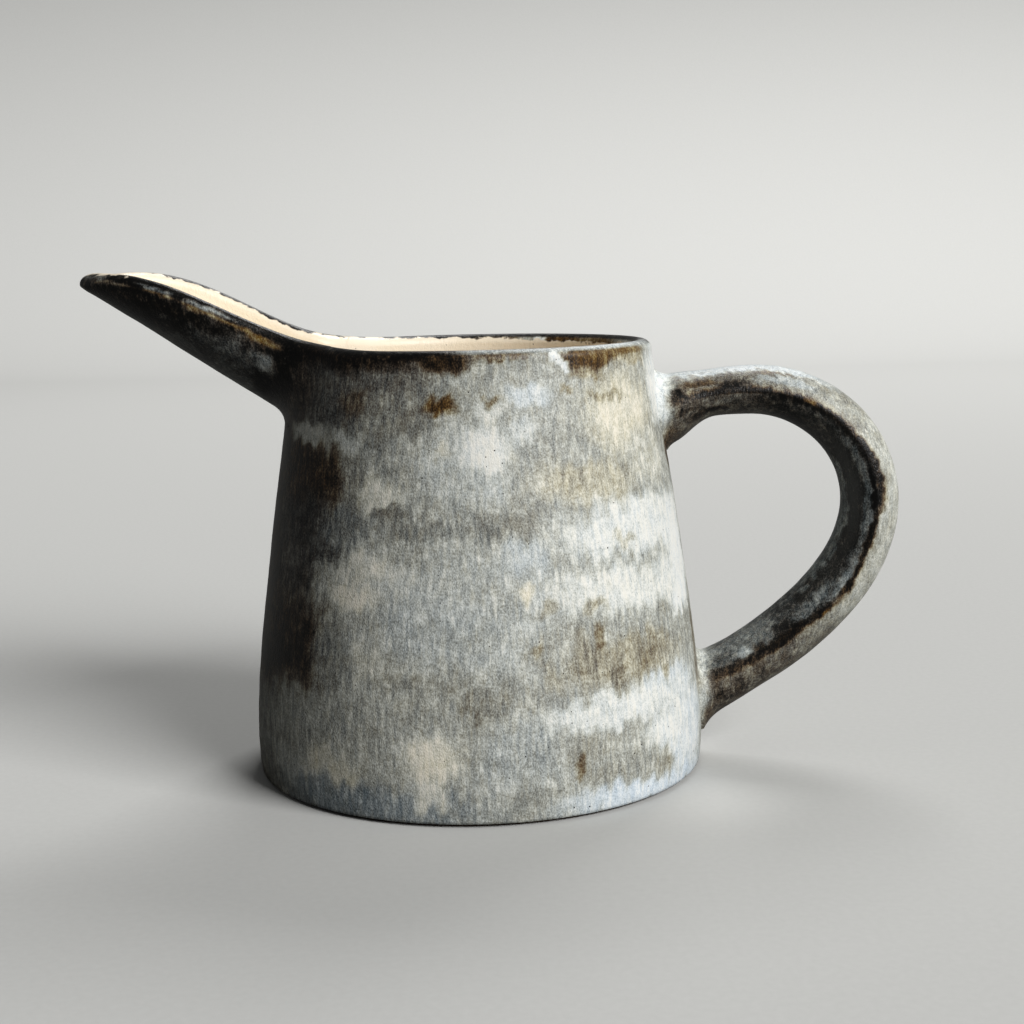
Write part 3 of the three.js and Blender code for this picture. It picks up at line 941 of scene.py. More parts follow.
def make_handle():
    strap = run_tree("glazed_handle", STRAP, handle_line(), strap_values)
    close_up(strap)
    along = read_values(strap, "along")
    out = read_values(strap, "out", 3)
    upward = (out[:, 2] + 1) / 2
    upper = mix(UPPER_REACH["below"], UPPER_REACH["above"], upward)
    lower = mix(LOWER_REACH["below"], LOWER_REACH["above"], upward)
    reach = np.where(along < 0.5, upper, lower)
    started = trim_ends(corners_of(strap))
    move_corners(strap, keep_buried(started, work_in(started, out, reach, outside_sunk_wall)))
    return strap


handle = make_handle()
print("handle reaches", round(corners_of(handle)[:, 0].max(), 4), "m from the axis")

# %% [markdown]
# ## Hand-worked unevenness
# No hand-built surface is true. Every clay surface is pressed in by a slow noise of a few tenths of a
# millimetre, read at its own place in space, so that neighbouring pieces swell and sink together. It only
# ever goes inwards, which keeps the jug inside its measured size.

# %% Press the surfaces
SWELL_SIZE = 0.022
SWELL_DEPTH = 0.0004
FINGER_SIZE = (0.007, 0.007, 0.0035)
FINGER_DEPTH = 0.00012
EDGE_KEPT = 0.005
SHIFTS = {
    "swell": 3.1, "fingers": 7.7, "runs": 1.3, "drift": 5.9, "sideways": 9.4, "ragged": 2.2,
    "ragged_aside": 6.6, "spout_along": 8.3, "spout_drop": 4.4, "spout_mottle": 2.9,
    "strap_ragged": 6.1, "strap_runs": 3.3, "strap_mottle": 5.5, "ridge_gaps": 9.9,
}


# Every noise is the same field, read at its own shift so that no two of them rise and fall together
def noise_at(points, size, use):
    scale = np.broadcast_to(np.asarray(size, float), (3,))
    return np.array([noise.noise(Vector(p)) for p in points / scale + SHIFTS[use]])


def rim_depth(points):
    top = RIM_HEIGHT + rim_lift(spout_angle(points))
    inside = outside_wall(points) < -WALL / 2
    return np.where(inside, 1, -1) * np.maximum(top - points[:, 2], 0)


def press(piece, from_edge):
    points = corners_of(piece)
    normals = np.array([vertex.normal for vertex in piece.data.vertices])
    depth = SWELL_DEPTH * (1 + noise_at(points, SWELL_SIZE, "swell")) / 2
    depth += FINGER_DEPTH * (1 + noise_at(points, FINGER_SIZE, "fingers")) / 2
    depth *= ease(from_edge, 0, EDGE_KEPT)
    move_corners(piece, points - normals * depth[:, None])
    print(piece.name, "pressed in by up to", round(depth.max() / MM, 2), "mm")


wall_points = corners_of(wall)
from_foot = np.maximum(wall_points[:, 2] - GLAZE_EDGE, 0)
press(wall, np.minimum(np.abs(rim_depth(wall_points)), from_foot))
press(spout, np.abs(read_values(spout, "inward")))
press(handle, np.full(len(handle.data.vertices), EDGE_KEPT))

# %% [markdown]
# ## Where the glaze lies thick and thin
# One runny glaze covers the whole jug. Where it lies thick it turns milky blue-white or cream, where it is
# thin it goes grey, then brown, and over edges it breaks to near black. So one number for each vertex, the
# thickness, carries the whole pattern, and a second one says how warm the tone is. A painter would lay in
# patches and let them run. The list below does that: angle round the jug, height, half width, half height,
# thickness and warmth of each patch, first the broad ones and then the small ones. The far
# side gets the same patches, turned and lowered a little where nothing ties them to the rim or the handle.
# The thickness number also holds painted shade and painted highlights in a few places, named where they are
# laid.

# %% Patches of glaze on the wall
BASE_THICKNESS = 0.62
BASE_WARMTH = 0.4
PATCHES = [
    # Painted shade: the broad dark first patch over the whole height at the spout side's edge, and the dark
    # patches at -142 degrees 69 mm, -145 degrees 34 mm, -157 degrees 30 mm, -158 degrees 86 mm under the
    # spout and the greyer one at -170 degrees 13 mm, are darker glaze together with painted shade for the
    # side turned from the light; their copies on the far side carry it as well.
    (-174, 46, 28, 60, 0.14, 0.55),
    (-170, 13, 26, 13, 0.46, 0.3),
    (-180, 25, 13, 5, 0.3, 0.35),
    (-180, 64, 9, 13, 0.34, 0.35),
    (-180, 42, 6, 8, 0.28, 0.3),
    (-88, 46, 20, 10, 0.7, 0.3),
    (-97, 72, 8, 7.8, 0.7, 0.3),
    (-119, 75, 8, 4.0, 0.54, 0.25),
    (-138, 86, 22, 10, 0.31, 0.2),
    (-158, 86, 14, 9, 0.2, 0.5),
    (-145, 58, 14, 8, 0.2, 0.2),
    (-146, 48, 9, 4, 0.22, 0.3),
    (-132, 57, 7, 5, 0.32, 0.2),
    (-148, 52, 6, 3.2, 0.3, 0.3),
    (-142, 69, 16, 7.0, 0.15, 0.85),
    (-123, 69, 4, 8, 0.48, 0.4),
    (-146, 76.5, 11, 2.3, 0.72, 0.5),
    (-126, 76, 6, 1.8, 0.74, 0.4),
    (-112, 82, 12, 5, 0.49, 0.4),
    (-118, 88, 18, 3.8, 0.37, 0.3),
    (-126, 84, 5, 2.4, 0.32, 0.7),
    (-98.5, 83.4, 4.6, 1.8, 0.24, 1.3),
    (-85, 81, 4, 2.1, 0.85, 0.5),
    (-97, 74, 1.8, 1.8, 0.8, 0.7),
    (-116, 66, 5.5, 4.4, 0.82, 0.7),
    (-112, 61.4, 6, 1.8, 0.4, 0.35),
    (-125, 59, 8, 4.0, 0.45, 0.15),
    (-95, 59.8, 17, 2.3, 0.51, 0.3),
    (-110, 48, 9, 4.5, 0.75, 0.4),
    (-120, 51, 9, 2.4, 0.82, 0.7),
    (-122, 45, 7, 3.3, 0.9, 0.9),
    (-145, 34, 16, 9.5, 0.14, 0.7),
    (-157, 30, 10, 5, 0.05, 0.5),
    (-128, 33, 6, 9, 0.48, 0.3),
    (-101, 40, 12, 7, 0.66, 0.2),
    (-85, 36, 8, 6, 0.71, 0.3),
    (-99, 28, 10, 2.2, 0.57, 0.4),
    (-90, 25, 3, 2.2, 0.46, 0.6),
    (-116, 32, 4, 3.5, 0.7, 0.6),
    (-137, 18, 16, 6, 0.6, 0.4),
    (-142, 9, 9, 4, 0.68, 0.4),
    (-127, 10, 8, 4.6, 0.77, 0.9),
    (-118, 3.6, 26, 4.4, 0.52, -0.15),
    (-101, 13.5, 6.8, 4.8, 0.92, 1.0),
    (-101, 6, 4, 3.2, 0.84, 0.7),
    (-73, 85, 6, 2.3, 0.78, 0.0),
    (-84, 84, 2.4, 1.0, 0.42, 1.0),
    (-40, 80, 14, 9, 0.83, 1.0),
    (-76, 78, 4, 3, 0.8, 0.3),
    (-19, 84, 4, 8, 0.95, 0.4),
    (-86, 66, 5, 4, 0.71, 0.3),
    (-86, 74, 6, 4.6, 0.98, 0.4),
    (-61, 85, 2, 1.0, 0.44, 1.0),
    (-46, 84, 7, 1.1, 0.58, 1.0),
    (-56, 67, 16, 4.2, 0.68, 0.9),
    (-30, 71, 9, 6, 0.74, 0.6),
    (-77, 60, 5, 2.2, 0.55, 0.5),
    (-38, 57, 26, 6.2, 0.95, 0.3),
    (-47, 55, 4, 1.7, 0.72, 0.7),
    (-77, 53, 5, 3.9, 0.74, 0.1),
    (-41, 45, 29, 4.6, 0.88, 0.4),
    (-18, 50, 7, 11, 1.0, 0.2),
    (-78, 46, 2, 1.6, 0.88, 1.0),
    (-72, 43, 3, 2.0, 0.58, 0.7),
    (-59, 43, 3, 1.6, 0.64, 0.8),
    (-48, 30, 18, 5.8, 0.56, 0.8),
    (-58, 36, 1.3, 2.8, 0.36, 0.9),
    (-62, 33, 3.0, 5.0, 0.5, 0.7),
    (-74, 35, 1.2, 2.2, 0.54, 0.8),
    (-71, 30, 2.4, 2.9, 0.56, 0.7),
    (-53, 27, 2.2, 3.6, 0.48, 0.7),
    (-42, 30, 3, 2.1, 0.46, 0.8),
    (-21, 40, 6, 3.4, 1.0, 0.2),
    (-87, 26, 4, 3.4, 0.52, 0.4),
    (-34, 23, 13, 3.6, 0.84, 0.0),
    (-49, 21, 23, 2.7, 0.9, 0.3),
    (-26, 12, 12, 9, 0.9, 0.0),
    (-11, 85, 6, 9, 0.94, 0.2),
    (-36, 15, 8, 4, 0.9, 0.3),
    (-64, 15, 9, 3.0, 0.6, 0.5),
    (-38, 8, 4, 2.4, 0.6, 0.6),
    (-80, 14, 10, 7.0, 0.64, 0.2),
    (-65, 11, 1.0, 3.4, 0.4, 1.0),
    (-59, 8, 5, 2.2, 0.6, 0.5),
    (-42, 2.2, 26, 3.0, 0.88, -0.3),
    (-12, 27, 2.6, 10, 0.4, 0.7),
    (-9, 70, 3, 4.5, 0.2, 0.8),
    (-130, 94.4, 38, 4.2, 0.02, 0.7),
    (-97, 91.8, 6.5, 2.6, 0.1, 1.0),
    (-80, 93.0, 8, 1.3, 0.34, 1.0),
    (-54, 88.9, 7, 1.3, 0.54, 1.0),
    (-52, 92.0, 12, 2.2, 0.24, 1.3),
    (-36, 92.4, 12, 1.7, 0.36, 1.3),
    (-32, 90.4, 8, 1.2, 0.6, 1.0),
    (-64.5, 92.6, 1.4, 1.4, 1.0, 0.2),
    (-62.6, 91.4, 1.5, 1.4, 1.0, 0.2),
    (-60.8, 90.2, 1.3, 1.4, 1.0, 0.2),
]
print("patches on the seen side", len(PATCHES))

# %% Lay the patches and let them run
RUN_SIZE = (0.0018, 0.0018, 0.012)
RUN_DEPTH = 0.0032
DRIFT_SIZE = 0.009
DRIFT_DEPTH = 0.002
RAGGED_SIZE = 0.0012
RAGGED_DEPTH = 0.0009
BACK_TURN = 12
BACK_DROP = 5
FREE_BELOW = 82
FREE_BEYOND = 20
CALM_RIM = 0.25
CALM_DEPTH = 0.03
PATCH_CORNER = 2.6
PATCH_CORE = 0.5
PATCH_END = 1.28


# Across and along are given for the vertices in the same unit as the patch's own middle and half size
def lay_patch(tone, across, along, patch):
    middle_across, middle_along, half_across, half_along, thickness_and_painted_light, warmth = patch
    aside = np.abs(across - middle_across) / half_across
    above = np.abs(along - middle_along) / half_along
    away = (aside ** PATCH_CORNER + above ** PATCH_CORNER) ** (1 / PATCH_CORNER)
    cover = 1 - ease(away, PATCH_CORE, PATCH_END)
    tone[:, 0] = mix(tone[:, 0], thickness_and_painted_light, cover)
    tone[:, 1] = mix(tone[:, 1], warmth, cover)


def wall_tone(points):
    runs = noise_at(points, RUN_SIZE, "runs")
    drift = noise_at(points, DRIFT_SIZE, "drift")
    lifted = rim_lift(spout_angle(points)) * ease(points[:, 2], RIM_HEIGHT - RIM_LIFT_DEPTH, RIM_HEIGHT)
    height = points[:, 2] - lifted
    calm = mix(CALM_RIM, 1, ease(RIM_HEIGHT - height, 0, CALM_DEPTH))
    ragged = RAGGED_DEPTH * noise_at(points, RAGGED_SIZE, "ragged")
    height = (height + calm * (RUN_DEPTH * runs + DRIFT_DEPTH * drift) + ragged) / MM
    sideways = calm * DRIFT_DEPTH * noise_at(points, DRIFT_SIZE, "sideways")
    sideways += RAGGED_DEPTH * noise_at(points, RAGGED_SIZE, "ragged_aside")
    angle = np.degrees(np.arctan2(points[:, 1], points[:, 0]) + sideways / BELLY_RADIUS)
    tone = np.tile([BASE_THICKNESS, BASE_WARMTH], (len(points), 1))
    for middle, patch_height, half_wide, half_high, thickness_and_painted_light, warmth in PATCHES:
        half_turn = math.degrees(half_wide * MM / BELLY_RADIUS)
        free = patch_height < FREE_BELOW and middle < -FREE_BEYOND
        for side, turned, lowered in ((1, 0, 0), (-1, BACK_TURN * free, BACK_DROP * free)):
            turn = (side * angle - middle - turned + 180) % 360 - 180
            spot = (0, patch_height - lowered, half_turn, half_high, thickness_and_painted_light, warmth)
            lay_patch(tone, turn, height, spot)
    return tone


belly_tone = wall_tone(np.array([[0.0, -BELLY_RADIUS, BELLY_HEIGHT]]))
print("thickness and warmth low on the front", belly_tone.round(2))

# %% [markdown]
# ## The rim and its liner
# A lip can't hold glaze: it runs off the edge and leaves a dark band there. On the front right and at the
# back near the spout the top of the lip is pale and cool instead, a painted highlight. Inside, the jug has a
# cream liner that was poured in first and stops at the lip in a ragged line. Its place is one more number,
# how far inside the lip a vertex lies, negative on the outside. A short list shifts that line round the
# rim, since nobody pours a liner evenly.

# %% Tone the wall
LINER_LIMIT = 0.02
LIP_LINE = (0.00042, 0.00098)
LIP_WARMTH = 0.1
LINER_SHIFT = [(-180, 0.3), (-95, 0.3), (-10, 0.0), (40, -0.8), (75, -0.2), (130, 1.0), (180, 1.0)]
# The pale stretches of this list, from -90 to -10 degrees and round 150, are a painted highlight on top of
# the lip; the dark stretches are the glaze breaking over the edge.
LIP_BAND_AND_HIGHLIGHT = [(-180, 0.04), (-100, 0.04), (-90, 0.55), (-30, 0.66), (-10, 0.4),
             (10, 0.06), (110, 0.08), (150, 0.5), (180, 0.1)]


def round_the_rim(points, values):
    angle = np.degrees(np.arctan2(points[:, 1], points[:, 0]))
    places, amounts = zip(*values)
    return np.interp(angle, places, amounts)


def write_tone(piece, tone, inward):
    inward = np.clip(inward, -LINER_LIMIT, LINER_LIMIT) / MM
    for name, value in (("thickness_and_painted_light", tone[:, 0]), ("warmth", tone[:, 1]), ("liner", inward)):
        write_values(piece, name, value)
    print(piece.name, "thickness_and_painted_light", tone[:, 0].min().round(2), "to", tone[:, 0].max().round(2))


def tone_wall():
    points = corners_of(wall)
    inward = rim_depth(points)
    tone = wall_tone(points)
    on_lip = 1 - ease(np.abs(inward), *LIP_LINE)
    tone[:, 0] = mix(tone[:, 0], round_the_rim(points, LIP_BAND_AND_HIGHLIGHT), on_lip)
    tone[:, 1] = mix(tone[:, 1], LIP_WARMTH, on_lip)
    write_tone(wall, tone, inward + round_the_rim(points, LINER_SHIFT) * MM)


tone_wall()

# %% [markdown]
# ## The spout's glaze
# On the spout the glaze is thin and almost black. It breaks tan along the soft ridge below the lip and
# turns a mottled grey towards the root. Three pale marks just under the lip are a painted highlight. Here
# a patch has a place along the spout, measured from the jug's axis, and a drop below the lip, both in
# millimetres.

# %% Tone the spout
SPOUT_DARK = (0.04, 0.3)
SPOUT_PATCHES = [
    (58, 9, 9, 4.5, 0.22, 0.1),
    (50, 9, 5, 5, 0.28, 0.1),
    (66, 6, 6, 2.5, 0.12, 0.2),
    (43.5, 6.5, 3, 1.8, 0.42, 0.1),
    (44.5, 10.2, 2, 1.8, 0.02, 0.2),
    (70, 4.0, 16, 1.2, 0.03, 0.5),
    # Painted highlight: the next three pale cool marks just under the lip stand in for light glinting on the
    # lip's bevel.
    (54, 0.9, 6, 0.5, 0.5, 0.0),
    (66, 0.9, 5, 0.4, 0.42, 0.0),
    (80, 0.7, 4, 0.5, 0.4, 0.2),
    (42.5, 2.7, 4, 0.8, 0.42, 1.5),
    (48.5, 2.1, 5, 0.6, 0.42, 1.5),
    (56, 1.9, 5, 0.5, 0.4, 1.4),
    (65, 1.8, 5, 0.4, 0.38, 1.3),
    (76, 1.5, 6, 0.35, 0.38, 0.8),
]
SPOUT_MOTTLE = [(0.004, 0.14), (0.0015, 0.1)]
ALONG_DRIFT_SIZE = 0.003
ALONG_DRIFT = 1.2
DROP_DRIFT_SIZE = 0.0025
DROP_DRIFT = 0.5
SPOUT_BLEND = (0.0002, 0.003)
FAR_LIP_SHIFT = 0.0002
FAR_LIP_BLEND = (0.0, 0.004)
NOSE_SHIFT = 0.0012
NOSE_BLEND = (66, 74)


def tone_spout():
    points = corners_of(spout)
    inward = read_values(spout, "inward")
    along = -points[:, 0] / MM + ALONG_DRIFT * noise_at(points, ALONG_DRIFT_SIZE, "spout_along")
    drop = np.maximum(-inward, 0) / MM + DROP_DRIFT * noise_at(points, DROP_DRIFT_SIZE, "spout_drop")
    tone = np.tile(SPOUT_DARK, (len(points), 1))
    for patch in SPOUT_PATCHES:
        lay_patch(tone, along, drop, patch)
    for size, amount in SPOUT_MOTTLE:
        tone[:, 0] += amount * noise_at(points, size, "spout_mottle")
    near = 1 - ease(outside_wall(points), *SPOUT_BLEND)
    on_spout = FAR_LIP_SHIFT * ease(points[:, 1], *FAR_LIP_BLEND) + NOSE_SHIFT * ease(along, *NOSE_BLEND)
    shift = mix(on_spout, round_the_rim(points, LINER_SHIFT) * MM, near)
    write_tone(spout, mix(tone, wall_tone(points), near[:, None]), inward + shift)


tone_spout()

# %% [markdown]
# ## The handle's glaze
# The strap is pale on its outer face, where the glaze gathers, and blue-grey with dark lengthwise runs on
# its inner one. A dark broken line follows the ridge between the two. That line, and the tones of the two
# faces, are given at a few places along the strap and blended between them. A patch has a share of the
# strap's length and a place across it, from minus one on the inside of the loop to one on the outside. A
# long pale cool streak along the top before the crest is a painted highlight. Near the wall the roots are
# pale where they face up, a painted highlight, and dark where they face down, painted shade.

# %% Tone the handle
STRAP_LENGTH = 0.138
STRAP_ROUND = HANDLE_WIDTH / 3
RIDGE_LINE = [(0.08, 0.32), (0.12, 0.22), (0.2, 0.14), (0.28, 0.06), (0.38, 0.07), (0.45, 0.2), (0.5, 0.27),
              (0.525, -0.03), (0.59, -0.13), (0.64, 0.06), (0.69, 0.0), (0.74, -0.22), (0.82, -0.27),
              (0.9, -0.45)]
OUTER_TONES = [(0.07, 0.56), (0.12, 0.42), (0.2, 0.43), (0.28, 0.52), (0.36, 0.64), (0.46, 0.7),
               (0.62, 0.68), (0.7, 0.54), (0.76, 0.4), (0.84, 0.32), (0.93, 0.28)]
OUTER_WARMTH = 0.5
OUTER_MOTTLE_SIZE = 0.004
OUTER_MOTTLE = 0.16
INNER_TONES = [(0.08, 0.34), (0.2, 0.28), (0.3, 0.18), (0.42, 0.1), (0.55, 0.1), (0.7, 0.22), (0.8, 0.34),
               (0.9, 0.42)]
INNER_WARMTH = [(0.08, 0.5), (0.3, 0.2), (0.5, 0.05), (0.9, 0.1)]
INNER_RUN_SIZE = (0.016, 0.0016, 1)
INNER_RUN_DARK = 0.5
INNER_RUN_PALE = 0.1
STRAP_RAGGED_SIZE = 0.0016
STRAP_RAGGED = 0.12
FACE_BLEND = 0.1
FRINGE_TONE = (0.42, 1.3)
FRINGE_EDGE = (0.102, 0.34)
FRINGE_COVER = 0.6
RIDGE_TONE = (0.04, 0.8)
RIDGE_EDGE = (0.072, 0.234)
RIDGE_GAP_SIZE = (0.006, 0.01, 1)
RIDGE_GAP_EDGE = (0.1, 0.4)
RIDGE_GAP_COVER = 0.5
HANDLE_PATCHES = [
    (0.48, -0.36, 0.15, 0.16, 0.36, 0.0),
    (0.5, -0.7, 0.15, 0.15, 0.02, 0.3),
    (0.56, -0.97, 0.2, 0.1, 0.34, 0.0),
    (0.7, -0.5, 0.05, 0.16, 0.38, 0.0),
    (0.69, -0.8, 0.04, 0.1, 0.06, 0.2),
    (0.77, -0.57, 0.02, 0.14, 0.08, 0.3),
    # Painted highlight: this long pale cool streak along the top of the strap before the crest stands in for
    # the window's reflection.
    (0.2, 0.97, 0.14, 0.12, 0.76, 0.0),
    (0.13, 0.62, 0.03, 0.1, 0.22, 0.9),
    (0.18, 0.4, 0.025, 0.2, 0.1, 0.4),
    (0.096, 0.47, 0.01, 0.14, 0.02, 0.4),
    (0.24, 0.8, 0.03, 0.06, 0.34, 0.9),
    (0.26, 0.6, 0.05, 0.14, 0.66, 0.1),
    (0.3, 0.1, 0.012, 0.14, 0.32, 1.5),
    (0.33, 0.3, 0.02, 0.12, 0.66, 0.9),
    (0.73, -0.24, 0.012, 0.12, 0.02, 0.3),
    (0.7, 0.05, 0.01, 0.1, 0.32, 1.5),
    (0.82, -0.5, 0.012, 0.12, 0.04, 0.5),
    (0.845, -0.62, 0.012, 0.14, 0.55, 0.0),
    (0.64, -0.25, 0.05, 0.13, 0.46, 0.0),
    (0.93, -0.1, 0.02, 0.3, 0.2, 0.8),
]
ROOT_BLEND = (0.0, 0.0045)
ROOT_TOUCH = (-0.0004, 0.0012)
# Painted light at the roots: pale and cool where the surface faces up, a painted highlight, and dark where it
# faces down, painted shade.
ROOT_HIGHLIGHT_ABOVE = np.array([0.86, 0.1])
ROOT_SHADE_UNDER = np.array([0.24, 0.7])
UNDERSIDE = (0.1, 0.6)
LOWER_ROOT = (0.4, 0.6)
LOWER_ROOT_WALL = 0.7


# Thickness and warmth of the two faces, the rusty fringe beside the ridge and the dark line on it
def strap_tone(points, along, face):
    courses = (RIDGE_LINE, OUTER_TONES, INNER_TONES, INNER_WARMTH)
    ridge, outer, inner, inner_warmth = [np.interp(along, *zip(*values)) for values in courses]
    strap_places = np.stack([along * STRAP_LENGTH, face * STRAP_ROUND, 0 * along], 1)
    runs = noise_at(strap_places, INNER_RUN_SIZE, "strap_runs")
    inner = inner - INNER_RUN_DARK * np.maximum(runs, 0) + INNER_RUN_PALE * np.minimum(runs, 0)
    outer = outer + OUTER_MOTTLE * noise_at(points, OUTER_MOTTLE_SIZE, "strap_mottle")
    outside = ease(face, ridge - FACE_BLEND, ridge + FACE_BLEND)
    tone = np.stack([mix(inner, outer, outside), mix(inner_warmth, OUTER_WARMTH, outside)], 1)
    fringe = FRINGE_COVER * (1 - ease(face - ridge, *FRINGE_EDGE)) * outside
    tone = mix(tone, np.array(FRINGE_TONE), fringe[:, None])
    gaps = ease(noise_at(strap_places, RIDGE_GAP_SIZE, "ridge_gaps"), *RIDGE_GAP_EDGE)
    on_ridge = (1 - ease(np.abs(face - ridge), *RIDGE_EDGE)) * (1 - RIDGE_GAP_COVER * gaps)
    return mix(tone, np.array(RIDGE_TONE), on_ridge[:, None])


def tone_handle():
    points = corners_of(handle)
    along = read_values(handle, "along")
    ragged = STRAP_RAGGED * noise_at(points, STRAP_RAGGED_SIZE, "strap_ragged")
    face = read_values(handle, "face") + ragged
    tone = strap_tone(points, along, face)
    for patch in HANDLE_PATCHES:
        lay_patch(tone, along, face, patch)
    on_wall = wall_tone(points)
    # Which way each root point faces sets its tone: a painted highlight on top, painted shade underneath.
    under = ease(-read_values(handle, "out", 3)[:, 2], *UNDERSIDE)[:, None]
    root = mix(ROOT_HIGHLIGHT_ABOVE, ROOT_SHADE_UNDER, under)
    root = mix(root, on_wall, ease(along, *LOWER_ROOT)[:, None] * (1 - under) * LOWER_ROOT_WALL)
    gap = outside_wall(points)[:, None]
    tone = mix(tone, root, 1 - ease(gap, *ROOT_BLEND))
    tone = mix(tone, on_wall, 1 - ease(gap, *ROOT_TOUCH))
    write_tone(handle, tone, np.full(len(points), -LINER_LIMIT))


tone_handle()

# %% [markdown]
# ## The glaze
# Satin reactive glaze on stoneware. Its tone comes from the thickness: two colour ramps, a cool one and a
# warm one, give the colour at each thickness, and the warmth mixes them. Rust goes past the warm ramp and
# blue goes short of the cool one, so that mix isn't held between zero and one. Five noises break the
# patches up: upright runs, clouds, mottles, an orange-peel skin and a grain of tiny crystals. Each is read at
# the point's own place in space, so the runs stand upright all the way round and the pattern crosses from one
# piece to the next. The runs are strong where the mottle is, and get warmer as they get paler. The real
# crystals are finer than a tenth of a millimetre. Here they are drawn coarser, so that they show.
# The thickness attribute that the ramps read also carries the painted shade and painted highlights laid in
# above.

# %% Build the glaze
FIELDS = {
    "grain": {"size": (0.26, 0.26, 0.4), "detail": 2.0, "bend": 0.0},
    "peel": {"size": (0.8, 0.8, 0.9), "detail": 1.0, "bend": 0.0},
    "mottle": {"size": (2.4, 2.4, 1.8), "detail": 2.0, "bend": 0.3},
    "cloud": {"size": (11.0, 11.0, 5.0), "detail": 2.0, "bend": 0.0},
    "streak": {"size": (0.8, 0.8, 5.5), "detail": 3.0, "bend": 0.3},
}
TONE_SWINGS = {"grain": 0.66, "peel": 0.16, "mottle": 0.3, "cloud": 0.26}
STREAK_MOTTLE = (0.35, 0.65)
STREAK_SWING = (0.16, 0.88)
STREAK_WARMTH = 1.1
COOL_RAMP = [(0.0, "#060606"), (0.1, "#141514"), (0.2, "#323332"), (0.32, "#555857"), (0.46, "#7c8180"),
             (0.6, "#a0a6a5"), (0.75, "#c5cccc"), (0.9, "#dfe5e6"), (1.0, "#eef0ed")]
WARM_RAMP = [(0.0, "#090705"), (0.1, "#1c150d"), (0.2, "#3e3021"), (0.32, "#614d36"), (0.46, "#867b62"),
             (0.6, "#aaa38b"), (0.75, "#ccc8b3"), (0.9, "#e7e2d0"), (1.0, "#f2ecdc")]
LINER_COLOURS = ("#eadbc0", "#f9eedb")
LINER_WANDER = 2.4
LINER_EDGE = (2.0, 2.4)
PINHOLE_SPACING = 1.6 * MM
PINHOLE_RARITY = (0.4, 1.0)
PINHOLE_WIDTH = 0.11
PINHOLE_COLOUR = "#2a241f"
GLAZE_ROUGHNESS = (0.3, 0.5)
GLAZE_IOR = 1.5
GLAZE_SHINE = 0.3
RELIEF = {"streak": 0.4, "peel": 1.0}
RELIEF_STRENGTH = 0.34
RELIEF_HEIGHT = 0.25 * MM


def set_ramp(node, stops):
    elements = node.color_ramp.elements
    while len(elements) < len(stops):
        elements.new(1.0)
    for element, (place, colour) in zip(elements, stops):
        element.position = place
        element.color = linear(colour)


# The noises are kept by name, because tone, liner and relief all use them
def add_fields(tree, place):
    fields = {}
    for name, field in FIELDS.items():
        scale = [1 / (length * MM) for length in field["size"]]
        scaled = add(tree, "ShaderNodeMapping", {"Vector": place, "Scale": scale})[0]
        fields[name] = add(tree, "ShaderNodeTexNoise", {
            "Vector": scaled, "Scale": 1.0, "Detail": field["detail"], "Distortion": field["bend"],
        })["Fac"]
    return fields


# Gives the colour, and the tone that the roughness follows. The streaks come last and also swing the warmth
def add_runny_colour(tree, fields):
    tone = add(tree, "ShaderNodeAttribute", attribute_name="thickness_and_painted_light")["Fac"]
    warmth = add(tree, "ShaderNodeAttribute", attribute_name="warmth")["Fac"]
    streaky = add(tree, "ShaderNodeMapRange", {
        "Value": fields["mottle"], "From Min": STREAK_MOTTLE[0], "From Max": STREAK_MOTTLE[1],
        "To Min": STREAK_SWING[0], "To Max": STREAK_SWING[1],
    })[0]
    for name, swing in (*TONE_SWINGS.items(), ("streak", streaky)):
        centred = add(tree, "ShaderNodeMath", {0: fields[name], 1: 0.5}, operation="SUBTRACT")[0]
        swung = {0: centred, 1: swing, 2: tone}
        tone = add(tree, "ShaderNodeMath", swung, operation="MULTIPLY_ADD")[0]
    swung = {0: centred, 1: STREAK_WARMTH, 2: warmth}
    warmth = add(tree, "ShaderNodeMath", swung, operation="MULTIPLY_ADD")[0]
    mixed = {0: warmth}
    for socket, stops in ((6, COOL_RAMP), (7, WARM_RAMP)):
        mixed[socket] = add(tree, "ShaderNodeValToRGB", {"Fac": tone})[0]
        set_ramp(mixed[socket].node, stops)
    return add(tree, "ShaderNodeMix", mixed, data_type="RGBA", clamp_factor=False)[2], tone


def add_liner(tree, fields, colour):
    creams = {0: fields["cloud"], 6: linear(LINER_COLOURS[0]), 7: linear(LINER_COLOURS[1])}
    cream = add(tree, "ShaderNodeMix", creams, data_type="RGBA")[2]
    inward = add(tree, "ShaderNodeAttribute", attribute_name="liner")["Fac"]
    wander = {0: fields["mottle"], 1: LINER_WANDER, 2: inward}
    wandering = add(tree, "ShaderNodeMath", wander, operation="MULTIPLY_ADD")[0]
    edge = {"Value": wandering, "From Min": LINER_EDGE[0], "From Max": LINER_EDGE[1]}
    inside = add(tree, "ShaderNodeMapRange", edge, interpolation_type="SMOOTHSTEP")[0]
    return add(tree, "ShaderNodeMix", {0: inside, 6: colour, 7: cream}, data_type="RGBA")[2]


# Gas bubbles leave pinholes: a small pit in some of the cells
def add_pinholes(tree, place):
    cells = add(tree, "ShaderNodeTexVoronoi", {"Vector": place, "Scale": 1 / PINHOLE_SPACING})
    rare = add(tree, "ShaderNodeSeparateColor", {0: cells["Color"]})[0]
    width = add(tree, "ShaderNodeMapRange", {
        "Value": rare, "From Min": PINHOLE_RARITY[0], "From Max": PINHOLE_RARITY[1],
        "To Min": 0.0, "To Max": PINHOLE_WIDTH,
    })[0]
    return add(tree, "ShaderNodeMath", {0: cells["Distance"], 1: width}, operation="LESS_THAN")[0]


